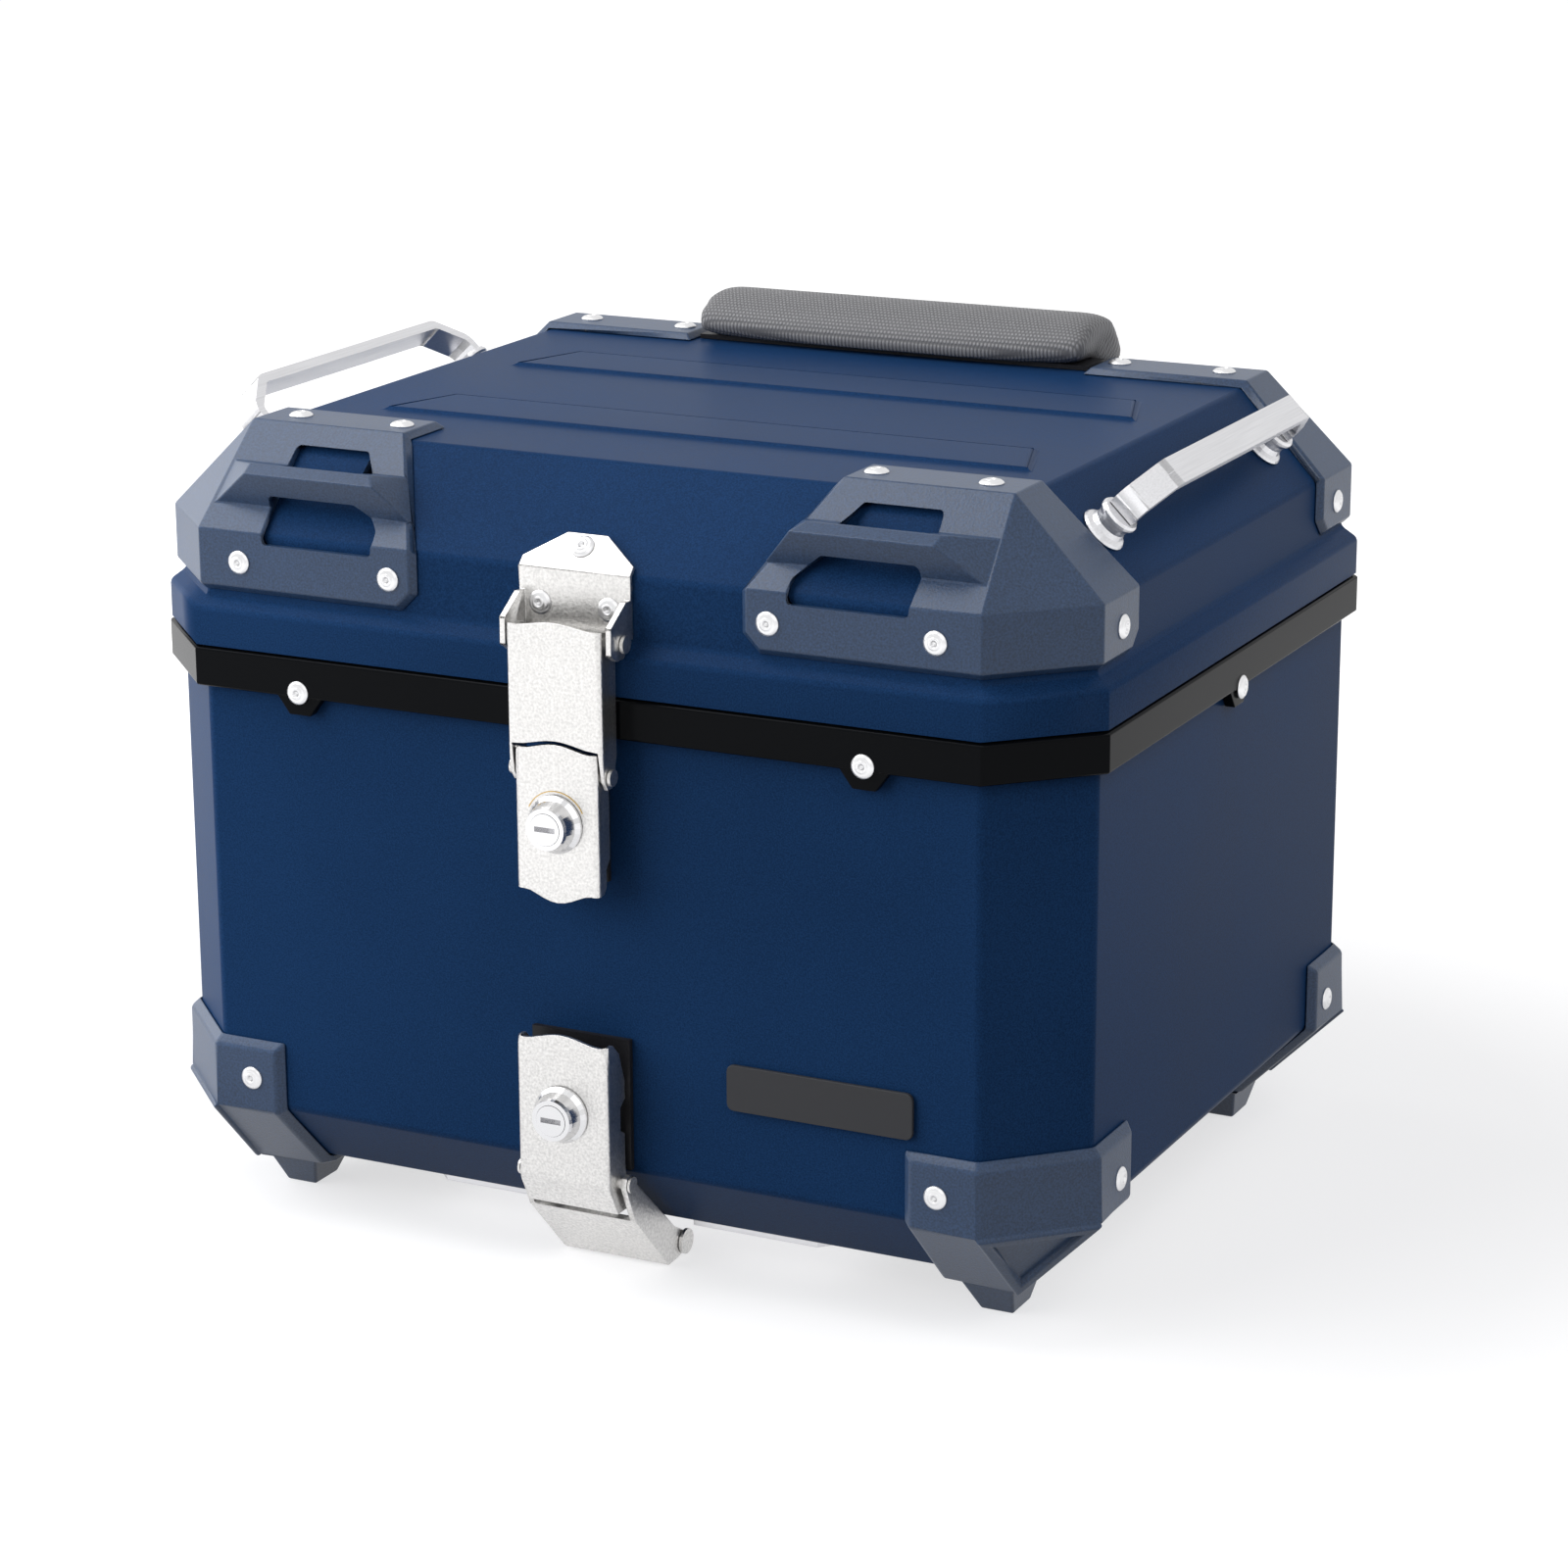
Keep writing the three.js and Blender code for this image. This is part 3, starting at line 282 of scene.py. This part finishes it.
def merged(node):
    """A copy of a CAD piece with its corners shared and its flat faces whole, but for the level rims."""
    shape = bmesh.new()
    shape.from_mesh(nodes[node].data)
    bmesh.ops.remove_doubles(shape, verts=shape.verts, dist=0.00001)
    bmesh.ops.dissolve_limit(shape, angle_limit=flat, verts=shape.verts, edges=shape.edges)
    rims = [f for f in shape.faces if len(f.verts) > rim_corners and abs(f.normal.z) > level]
    bmesh.ops.triangulate(shape, faces=rims)
    return shape


# %% Measuring, showing and baking
def measured(mesh):
    """A mesh's volume and area."""
    shape = bmesh.new()
    shape.from_mesh(mesh)
    bmesh.ops.triangulate(shape, faces=shape.faces)
    found = shape.calc_volume(signed=True), sum(f.calc_area() for f in shape.faces)
    shape.free()
    return found


def show(name, mesh, body, slot, *replaced):
    """Puts a mesh in the scene on its body, in place of the CAD pieces named."""
    piece = bpy.data.objects.new(name, mesh)
    scene.collection.objects.link(piece)
    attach(piece, body)
    if replaced:
        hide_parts(*replaced)
    return piece


def bake(piece):
    """Turns what a piece's modifiers show into its plain mesh."""
    graph = bpy.context.evaluated_depsgraph_get()
    baked = bpy.data.meshes.new_from_object(piece.evaluated_get(graph))
    piece.modifiers.clear()
    piece.data = baked


# %% Rounding a piece
sharp_angle = math.radians(28.0)


def rounded(node, steps, clamp=False):
    """steps are (width, segments, choose) in turn; choose takes an edge's middle, length and direction."""
    shape = merged(node)
    for width, segments, choose in steps:
        sharp = [
            e
            for e in shape.edges
            if e.is_manifold
            and e.calc_face_angle() > sharp_angle
            and choose((e.verts[0].co + e.verts[1].co) / 2, e.calc_length(), e.verts[1].co - e.verts[0].co)
        ]
        bmesh.ops.bevel(
            shape,
            geom=sharp,
            offset=width,
            segments=segments,
            profile=0.5,
            affect="EDGES",
            clamp_overlap=clamp,
        )
    mesh = bpy.data.meshes.new(node + "_shown")
    for face in shape.faces:
        face.smooth = True
    shape.to_mesh(mesh)
    shape.free()
    return show(node + "_shown", mesh, body_of[node], slot_of[node], node)


def weigh(piece):
    """Flat faces keep their own direction and only the rounds turn the light."""
    modifier = piece.modifiers.new("Weighted", "WEIGHTED_NORMAL")
    modifier.keep_sharp = True
    bake(piece)


# %% Choosing edges
def long_edge(low, high, length):
    """Chooses edges between two heights that are at least this long."""
    return lambda middle, size, way: low < middle.z < high and size > length


def every(length):
    """Chooses all edges longer than this, which leaves the short ones of an arc alone."""
    return lambda middle, size, way: size > length


def fold(node):
    """Chooses the long upright edges of a pressed cover's front face."""
    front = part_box(node)[0].y
    near, upright, long = 0.0002, 0.9, 0.008
    return lambda middle, size, way: middle.y - front < near and abs(way.z) > upright * size and size > long


# %% Rounds in metres
below_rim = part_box("box_shell")[1].z - 0.005
above_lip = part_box("lid_shell")[0].z + 0.003
foot_of_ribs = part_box("lid_shell")[1].z - 0.0014
over_all = 1.0
fold_length = 0.018
rounding = {
    "box_shell": [(0.0022, 4, long_edge(0.0, below_rim, fold_length))],
    "lid_shell": [
        (0.0018, 4, long_edge(above_lip, over_all, fold_length)),
        (0.0004, 2, long_edge(foot_of_ribs, over_all, 0.0)),
    ],
    "rim_band": [(0.0004, 2, every(0.004))],
}
mouldings = {
    "upper_guard": (0.0007, 3, every(0.0035)),
    "lower_guard": (0.0012, 3, every(0.0035)),
    "handle_bar": (0.0008, 3, every(0.0015)),
}
for node in nodes:
    for family, step in mouldings.items():
        if node.startswith(family):
            rounding[node] = [step]
for node in ("latch_bracket", "carrier_hook"):
    rounding[node] = [(0.0005, 2, every(0.0012))]
for node in ("latch_link", "latch_lever", "mount_lever"):
    rounding[node] = [(0.0024, 5, fold(node)), (0.0003, 2, every(0.0012))]
for node in ("badge_plate", "base_plate"):
    rounding[node] = [(0.0005, 2, every(0.001))]

# %% [markdown]
# A bevel that is too wide for its neighbours folds over itself. Each rounded copy is compared with its CAD
# piece: a small round takes away a little volume and area, so area gained is a sign of a fold.

# %% Rounded copies
shown = {}
for node, steps in rounding.items():
    shown[node] = rounded(node, steps, clamp=node.startswith("handle_bar"))
    weigh(shown[node])
    volume, area = measured(shown[node].data)
    plain_volume, plain_area = measured(nodes[node].data)
    faces = len(shown[node].data.polygons)
    print(f"{node}: {faces} faces, volume x{volume / plain_volume:.3f}, area x{area / plain_area:.3f}")

# %% [markdown]
# ## Colouring
#
# Each piece takes the finish of its material slot. A finish is a material of the mesh, so a copy that stands
# in for a CAD piece is painted like it.


# %% Finishes on pieces
def paint(piece, finish_name):
    piece.data.materials.clear()
    piece.data.materials.append(finishes[finish_name])


for node, piece in {**nodes, **shown}.items():
    paint(piece, slot_of[node])
print(len(nodes) + len(shown), "pieces painted")

# %% [markdown]
# ## Rivets
#
# Steel rivets hold the guards, the hinges, the latch and the edge band. They could be copied one by one,
# but they differ only in place and direction. One Geometry Nodes tree puts a rivet head on every point of
# a small mesh and turns it to the point's own direction, so a rivet is moved by moving a point.


# %% The rivet tree
def rivet_tree(head, material):
    tree = bpy.data.node_groups.new("Rivets", "GeometryNodeTree")
    tree.interface.new_socket("Points", in_out="INPUT", socket_type="NodeSocketGeometry")
    size = tree.interface.new_socket("Size", in_out="INPUT", socket_type="NodeSocketFloat")
    size.default_value = 1.0
    tree.interface.new_socket("Rivets", in_out="OUTPUT", socket_type="NodeSocketGeometry")
    add = tree.nodes.new
    link = tree.links.new
    given = add("NodeGroupInput")
    out = add("NodeGroupOutput")
    which = add("GeometryNodeObjectInfo")
    which.inputs["Object"].default_value = head
    facing = add("GeometryNodeInputNamedAttribute")
    facing.data_type = "FLOAT_VECTOR"
    facing.inputs["Name"].default_value = "facing"
    turn = add("FunctionNodeAlignRotationToVector")
    turn.axis = "Z"
    place = add("GeometryNodeInstanceOnPoints")
    real = add("GeometryNodeRealizeInstances")
    colour = add("GeometryNodeSetMaterial")
    colour.inputs["Material"].default_value = material
    link(given.outputs["Points"], place.inputs["Points"])
    link(which.outputs["Geometry"], place.inputs["Instance"])
    link(facing.outputs["Attribute"], turn.inputs["Vector"])
    link(turn.outputs["Rotation"], place.inputs["Rotation"])
    link(given.outputs["Size"], place.inputs["Scale"])
    link(place.outputs["Instances"], real.inputs["Geometry"])
    link(real.outputs["Geometry"], colour.inputs["Geometry"])
    link(colour.outputs["Geometry"], out.inputs["Rivets"])
    return tree


# %% The rivet head
def turned(name, profile, sides):
    """A closed mesh of revolution about Z from (radius, height) points that start and end on the axis."""
    shape = bmesh.new()
    rings = []
    for radius, height in profile:
        if radius < 1e-9:
            rings.append([shape.verts.new((0, 0, height))])
            continue
        turn = [2 * math.pi * k / sides for k in range(sides)]
        rings.append([shape.verts.new((radius * math.cos(t), radius * math.sin(t), height)) for t in turn])
    for low, high in zip(rings, rings[1:]):
        for k in range(sides):
            a, b = low[k % len(low)], low[(k + 1) % len(low)]
            c, d = high[(k + 1) % len(high)], high[k % len(high)]
            corners = list(dict.fromkeys((a, b, c, d)))
            face = shape.faces.new(corners)
            face.smooth = True
    bmesh.ops.recalc_face_normals(shape, faces=shape.faces)
    mesh = bpy.data.meshes.new(name)
    shape.to_mesh(mesh)
    shape.free()
    return mesh


rivet_radius = 0.0050
rivet_height = 0.0021
rivet_hole = 0.0013
rivet_floor = 0.3
rivet_outline = [
    (0, 0),
    (1, 0),
    (1, 0.28),
    (0.96, 0.42),
    (0.80, 0.72),
    (0.72, 0.80),
    (0.66, 0.82),
    (0.52, 0.84),
    (0.49, 0.92),
    (0.44, 1.0),
    (0.34, 1.0),
]
rivet_profile = [(rivet_radius * r, rivet_height * h) for r, h in rivet_outline]
rivet_profile += [(rivet_hole, rivet_height * 0.9), (rivet_hole, rivet_height * rivet_floor)]
rivet_profile += [(0, rivet_height * rivet_floor)]
head = bpy.data.objects.new("rivet_head", turned("rivet_head", rivet_profile, 40))
scene.collection.objects.link(head)
rivet_group = rivet_tree(head, finishes["rivet"])
print(len(rivet_group.nodes), "nodes in the rivet tree,", len(head.data.polygons), "faces in a head")


def rivets(name, body, places, size=1.0):
    """places are (point, direction) pairs."""
    mesh = bpy.data.meshes.new(name + "_points")
    mesh.from_pydata([p for p, _ in places], [], [])
    facing = mesh.attributes.new("facing", "FLOAT_VECTOR", "POINT")
    facing.data.foreach_set("vector", [c for _, d in places for c in Vector(d).normalized()])
    points = bpy.data.objects.new(name, mesh)
    scene.collection.objects.link(points)
    modifier = points.modifiers.new("Rivets", "NODES")
    modifier.node_group = rivet_group
    sockets = {s.name: s.identifier for s in rivet_group.interface.items_tree if s.in_out == "INPUT"}
    modifier[sockets["Size"]] = size
    bake(points)
    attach(points, body)
    return points


# %% [markdown]
# The guards are mirror images, so a rivet's place on one of them gives its place on all four. A place is
# measured from the case's middle line, and each head is sunk a little so that no gap shows under it.

# %% Rivets on the upper guards
band_low, band_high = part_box("rim_band")
middle_y = (band_low.y + band_high.y) / 2
sunk = 0.00015
lid_rivets = []
case_rivets = []


def outward(node):
    """Which side and which end of the case a guard stands on, as signs."""
    low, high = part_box(node)
    return (1 if abs(high.x) > abs(low.x) else -1), (1 if "rear" in node else -1)


upper_side, upper_end = 0.2113, 0.1773
wall_row = 0.2885
end_rivets = (0.0855, 0.1567)
top_rivets = (0.108, 0.157)
top_row, side_row = 0.126, 0.123
for node in nodes:
    if node.startswith("upper_guard"):
        sx, sy = outward(node)
        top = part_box(node)[1].z
        for across in end_rivets:
            lid_rivets.append(((sx * across, middle_y + sy * upper_end - sy * sunk, wall_row), (0, sy, 0)))
        for across in top_rivets:
            lid_rivets.append(((sx * across, middle_y + sy * top_row, top - sunk), (0, 0, 1)))
        flank = sx * upper_side - sx * sunk
        lid_rivets.append(((flank, middle_y + sy * side_row, wall_row), (sx, 0, 0)))

# %% Rivets on the lower guards
lower_side, lower_end = 0.2138, 0.1798
end_across, end_row = 0.159, 0.0645
side_along, side_up = 0.122, 0.0615
for node in nodes:
    if node.startswith("lower_guard"):
        sx, sy = outward(node)
        case_rivets.append(((sx * end_across, middle_y + sy * (lower_end - sunk), end_row), (0, sy, 0)))
        case_rivets.append(((sx * (lower_side - sunk), middle_y + sy * side_along, side_up), (sx, 0, 0)))

# %% Rivets on the edge band's tabs
rivet_z = band_low.z + 0.0098
side_drop = 0.002
front_tab, back_tab = 0.128, 0.155
for x in (-front_tab, front_tab):
    case_rivets.append(((x, band_low.y + sunk, rivet_z), (0, -1, 0)))
for x in (-back_tab, back_tab):
    case_rivets.append(((x, band_high.y - sunk, rivet_z), (0, 1, 0)))
for x, sx in ((band_low.x + sunk, -1), (band_high.x - sunk, 1)):
    case_rivets.append(((x, middle_y, rivet_z - side_drop), (sx, 0, 0)))

# %% Rivets on the hinges and the latch's bracket
leaf_rivets = 0.015
leaf_face = 0.0025
up_leaf, down_leaf = 0.014, 0.0054
for side in ("left", "right"):
    low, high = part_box("hinge_lower_leaf_" + side)
    centre = (low.x + high.x) / 2
    for across in (-leaf_rivets, leaf_rivets):
        case_rivets.append(((centre + across, low.y + leaf_face - sunk, low.z + up_leaf), (0, 1, 0)))
    low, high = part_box("hinge_upper_leaf_" + side)
    for across in (-leaf_rivets, leaf_rivets):
        lid_rivets.append(((centre + across, low.y + leaf_face - sunk, high.z - down_leaf), (0, 1, 0)))
bracket_face = middle_y - 0.1766
bracket_rivets = 0.0155
bracket_row = 0.2865
for x in (-bracket_rivets, bracket_rivets):
    lid_rivets.append(((x, bracket_face + sunk, bracket_row), (0, -1, 0)))
shoulder = (0.0, middle_y - 0.1689, 0.30875)
lid_rivets.append((shoulder, (0, -1, 1)))
rivets("lid_rivets", "lid", lid_rivets)
rivets("case_rivets", "case", case_rivets)
print(len(lid_rivets) + len(case_rivets), "rivets")
bpy.data.objects.remove(head)

# %% [markdown]
# ## The lock's mark
#
# A thin painted arc curves over the upper lock. It could be an image or a line in the shader, but as a
# closed sliver of its own on the lever's face it keeps its sharp ends and moves with the lever.


# %% The arc
def arc_mark(name, body, centre, radius, width, thick, first, last, steps=36):
    """An arc in a plane that faces the front, from one angle to another in degrees."""
    shape = bmesh.new()
    section = ((radius, 0), (radius + width, 0), (radius + width, -thick), (radius, -thick))
    rings = []
    for k in range(steps + 1):
        turn = math.radians(first + (last - first) * k / steps)
        ring = []
        for r, y in section:
            corner = (centre.x + r * math.cos(turn), centre.y + y, centre.z + r * math.sin(turn))
            ring.append(shape.verts.new(corner))
        rings.append(ring)
    for low, high in zip(rings, rings[1:]):
        for k in range(4):
            shape.faces.new((low[k], low[(k + 1) % 4], high[(k + 1) % 4], high[k]))
    shape.faces.new(rings[0])
    shape.faces.new(rings[-1])
    bmesh.ops.recalc_face_normals(shape, faces=shape.faces)
    mesh = bpy.data.meshes.new(name)
    shape.to_mesh(mesh)
    shape.free()
    mark = show(name, mesh, body, "grey_plastic")
    paint(mark, "gold")
    return mark


lock_low, lock_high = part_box("latch_lock_body")
arc_thick = 0.0001
arc_gap, arc_width = 0.0012, 0.0004
arc_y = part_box("latch_lever")[0].y - arc_thick
axis = Vector(((lock_low.x + lock_high.x) / 2, arc_y, (lock_low.z + lock_high.z) / 2))
arc_radius = (lock_high.x - lock_low.x) / 2 + arc_gap
arc_mark("lock_arc", "latch_lever_body", axis, arc_radius, arc_width, arc_thick, 25, 155)
print(f"arc {1000 * arc_radius:.1f} mm from the lock's axis")

# %% [markdown]
# ## The backrest pad
#
# The pad is foam in leather-cloth, wrapped over the lid's back edge. Rounding alone would leave it hard,
# so the CAD solid is remeshed evenly, blown up as cloth and stretched back to its own box. Points that
# went into the lid are then pushed out of it.


# %% The pad
pad_low, pad_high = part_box("backrest_pad")
pad_gap = 0.0005
pad_cell = 0.0045


def pad_mesh():
    """The CAD solid as an even, softened mesh."""
    shape = merged("backrest_pad")
    mesh = bpy.data.meshes.new("pad")
    shape.to_mesh(mesh)
    shape.free()
    piece = bpy.data.objects.new("backrest_cover", mesh)
    scene.collection.objects.link(piece)
    remesh = piece.modifiers.new("Remesh", "REMESH")
    remesh.mode = "VOXEL"
    remesh.voxel_size = pad_cell
    smooth = piece.modifiers.new("Smooth", "SMOOTH")
    smooth.factor = 0.6
    smooth.iterations = 6
    bake(piece)
    fill_box(piece)
    return piece


def fill_box(piece):
    """Stretches the pad to its CAD solid's box, less a small gap all round."""
    co = np.array([v.co for v in piece.data.vertices])
    low, high = co.min(axis=0), co.max(axis=0)
    to_low, to_high = np.array(pad_low) + pad_gap, np.array(pad_high) - pad_gap
    co = to_low + (co - low) * (to_high - to_low) / (high - low)
    piece.data.vertices.foreach_set("co", co.ravel())


front_strip = 0.02
foot_strip = 0.012
slant_foot = 0.0155


def hold_off(piece):
    """Pushes points that went into the lid back to the three flat faces of the CAD solid that lie on it."""
    solid = np.array([v.co for v in nodes["backrest_pad"].data.vertices])
    y, z = solid[:, 1], solid[:, 2]
    over = z[y < pad_low.y + front_strip].min()
    behind = y[z < pad_low.z + foot_strip].min()
    lean = math.sqrt(0.5)
    slanted = (y > pad_low.y + front_strip) & (z > pad_low.z + slant_foot)
    along = (y + z)[slanted].min() * lean
    co = np.array([v.co for v in piece.data.vertices])
    ways = np.array([(0, 0, 1), (0, lean, lean), (0, 1, 0)])
    depth = np.array([over, along, behind]) - co @ ways.T
    inside = depth.min(axis=1) > 0
    nearest = depth.argmin(axis=1)
    co[inside] += ways[nearest[inside]] * depth[inside, nearest[inside], None]
    piece.data.vertices.foreach_set("co", co.ravel())
    print(f"{int(inside.sum())} points held off the lid, by up to {1000 * depth.min(axis=1).max():.1f} mm")


# %% Blowing the pad up
def swell(piece, cap, frames=20):
    """Blows the pad up as cloth and lets no point go further than the cap."""
    rest = np.array([v.co for v in piece.data.vertices])
    cloth = piece.modifiers.new("Cloth", "CLOTH")
    cloth.settings.quality = 6
    cloth.settings.mass = 0.3
    cloth.settings.tension_stiffness = 40
    cloth.settings.compression_stiffness = 40
    cloth.settings.bending_stiffness = 6
    cloth.settings.use_pressure = True
    cloth.settings.uniform_pressure_force = 4
    cloth.settings.effector_weights.gravity = 0
    cloth.collision_settings.use_collision = False
    cloth.point_cache.frame_end = frames
    for number in range(1, frames + 1):
        scene.frame_set(number)
    bake(piece)
    scene.frame_set(1)
    moved = np.array([v.co for v in piece.data.vertices]) - rest
    reach = np.linalg.norm(moved, axis=1, keepdims=True)
    moved *= np.minimum(1.0, cap / np.maximum(reach, 1e-9))
    piece.data.vertices.foreach_set("co", (rest + moved).ravel())
    print(f"the pad swelled {1000 * reach.max():.1f} mm, held to {1000 * cap:.1f} mm")


# %% The finished pad
pad = pad_mesh()
swell(pad, cap=0.004)
fill_box(pad)
finer = pad.modifiers.new("Smooth", "SUBSURF")
finer.levels = finer.render_levels = 1
bake(pad)
hold_off(pad)
for face in pad.data.polygons:
    face.use_smooth = True

# %% [markdown]
# The cover's rows of dimples follow the pad's profile from the lid's top round to its back. A flat
# projection would smear them there, so the map's second direction is the way round.


# %% The cover's map
round_from = np.array([0.014, 0.012])


def cover_map(piece):
    """A UV map whose U is the way across and whose V is the way round the pad's profile."""
    mesh = piece.data
    layer = mesh.uv_layers.new(name="Cover")
    co = np.array([v.co for v in mesh.vertices])
    centre = np.array([pad_low.y, pad_low.z]) + round_from
    d = co[:, 1:] - centre
    angle = np.arctan2(d[:, 1], d[:, 0])
    mean = float(np.linalg.norm(d, axis=1).mean())
    along = angle * mean
    loops = np.array([loop.vertex_index for loop in mesh.loops])
    uv = np.stack([co[loops, 0], along[loops]], axis=1)
    layer.data.foreach_set("uv", uv.ravel())


cover_map(pad)
paint(pad, "pad_leather")
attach(pad, "lid")
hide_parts("backrest_pad")
print(len(pad.data.polygons), "faces in the pad")

# %% [markdown]
# ## The stage
#
# A pale floor, a white background and large soft lights. The camera, reflections and glass see the white
# at a strength of 1. Near the case the floor's own light is less and the lamps make up the rest, so that
# the case keeps its shadow. To all other light the floor is grey and the world is dim.


# %% What sees the background
def seen_by(tree, background, other):
    """The background for the camera, for reflections and through glass, and a shader for all other light."""
    path = tree.nodes.new("ShaderNodeLightPath")
    seen = Value(tree, path.outputs["Is Camera Ray"])
    for ray in ("Is Glossy Ray", "Is Transmission Ray"):
        seen = seen.math("MAXIMUM", Value(tree, path.outputs[ray]))
    return seen.node("ShaderNodeMixShader", None, 0, i0=seen, i1=other, i2=background)


# %% Floor
floor_mesh = bpy.data.meshes.new("floor")
reach = 6.0
near_case, far_off = 0.35, 0.9
corners = [(-reach, -reach, 0), (reach, -reach, 0), (reach, reach, 0), (-reach, reach, 0)]
floor_mesh.from_pydata(corners, [], [(0, 1, 2, 3)])
floor = bpy.data.objects.new("floor", floor_mesh)
scene.collection.objects.link(floor)
pale = bpy.data.materials.new("Floor")
pale.use_nodes = True
tree = pale.node_tree
place = Value(tree, tree.nodes.new("ShaderNodeTexCoord").outputs["Object"])
distance = place.node("ShaderNodeVectorMath", {"operation": "LENGTH"}, "Value", i0=place)
away = distance.between(near_case, far_off)
white = place.node("ShaderNodeBsdfDiffuse", Color=(0.42, 0.42, 0.425, 1))
own_light = place.node("ShaderNodeEmission", Color=away.mixed((0.66, 0.66, 0.665), (1.0, 1.0, 1.0)))
lit = place.node("ShaderNodeAddShader", i0=white, i1=own_light)
grey = place.node("ShaderNodeBsdfDiffuse", Color=(0.4, 0.4, 0.4, 1))
tree.links.new(seen_by(tree, lit, grey).socket, tree.nodes["Material Output"].inputs["Surface"])
floor_mesh.materials.append(pale)

# %% World
world = bpy.data.worlds.new("Studio")
scene.world = world
world.use_nodes = True
tree = world.node_tree
start = Value(tree, tree.nodes.new("ShaderNodeRGB").outputs[0])
white = start.node("ShaderNodeBackground", Color=(1, 1, 1, 1), Strength=1.0)
dim = start.node("ShaderNodeBackground", Color=(0.9, 0.93, 1.0, 1), Strength=0.04)
tree.links.new(seen_by(tree, white, dim).socket, tree.nodes["World Output"].inputs["Surface"])
print(f"a floor {2 * reach:.0f} m wide, whose own light is full from {far_off} m")

# %% Lamps
middle = Vector((0, 0, 0.2))
throw = 1.8


def softbox(name, turn, rise, size, power):
    """A square-on area light round the case: turn is its bearing from +X and rise its height, in degrees."""
    light = bpy.data.lights.new(name, "AREA")
    light.shape = "RECTANGLE"
    light.size, light.size_y = size
    light.energy = power
    turn, rise = math.radians(turn), math.radians(rise)
    way = Vector((math.cos(rise) * math.cos(turn), math.cos(rise) * math.sin(turn), math.sin(rise)))
    lamp = bpy.data.objects.new(name, light)
    lamp.location = middle + throw * way
    lamp.rotation_euler = (-way).to_track_quat("-Z", "Y").to_euler()
    scene.collection.objects.link(lamp)
    return lamp


softbox("Front_left", 225, 22, (2.0, 1.6), 31).visible_glossy = False
softbox("Left", 180, 24, (1.8, 1.6), 15)
softbox("Key", 212, 60, (0.9, 0.9), 12)
softbox("Back_right", 45, 40, (1.6, 1.4), 6).visible_glossy = False
softbox("Right", 350, 38, (1.6, 1.4), 12).visible_glossy = False
softbox("Front_right", 310, 35, (1.4, 1.2), 3)
print(len(bpy.data.lights), "lamps")

# %% [markdown]
# ## The camera
#
# A long lens from the front right, a little above the lid, turned a hair off level. The camera could be
# turned by angles, but its three directions follow from where it stands and what it looks at.

# %% Camera
eye = Vector((0.81504, -1.63245 + middle_y, 0.69723))
aim = Vector((0.004245, middle_y, 0.16734))
roll = math.radians(-0.29)
ahead = (aim - eye).normalized()
right = ahead.cross(Vector((0, 0, 1))).normalized()
up = right.cross(ahead)
right, up = right * math.cos(roll) + up * math.sin(roll), up * math.cos(roll) - right * math.sin(roll)
camera = bpy.data.cameras.new("Camera")
camera.lens = 99.7
camera.sensor_width = 36.0
camera.clip_end = 50.0
view = bpy.data.objects.new("Camera", camera)
view.matrix_world = Matrix(
    (
        (right.x, up.x, -ahead.x, eye.x),
        (right.y, up.y, -ahead.y, eye.y),
        (right.z, up.z, -ahead.z, eye.z),
        (0, 0, 0, 1),
    )
)
scene.collection.objects.link(view)
scene.camera = view
scene.view_settings.view_transform = "Standard"
print(f"the camera is {(aim - eye).length:.2f} m from what it looks at")
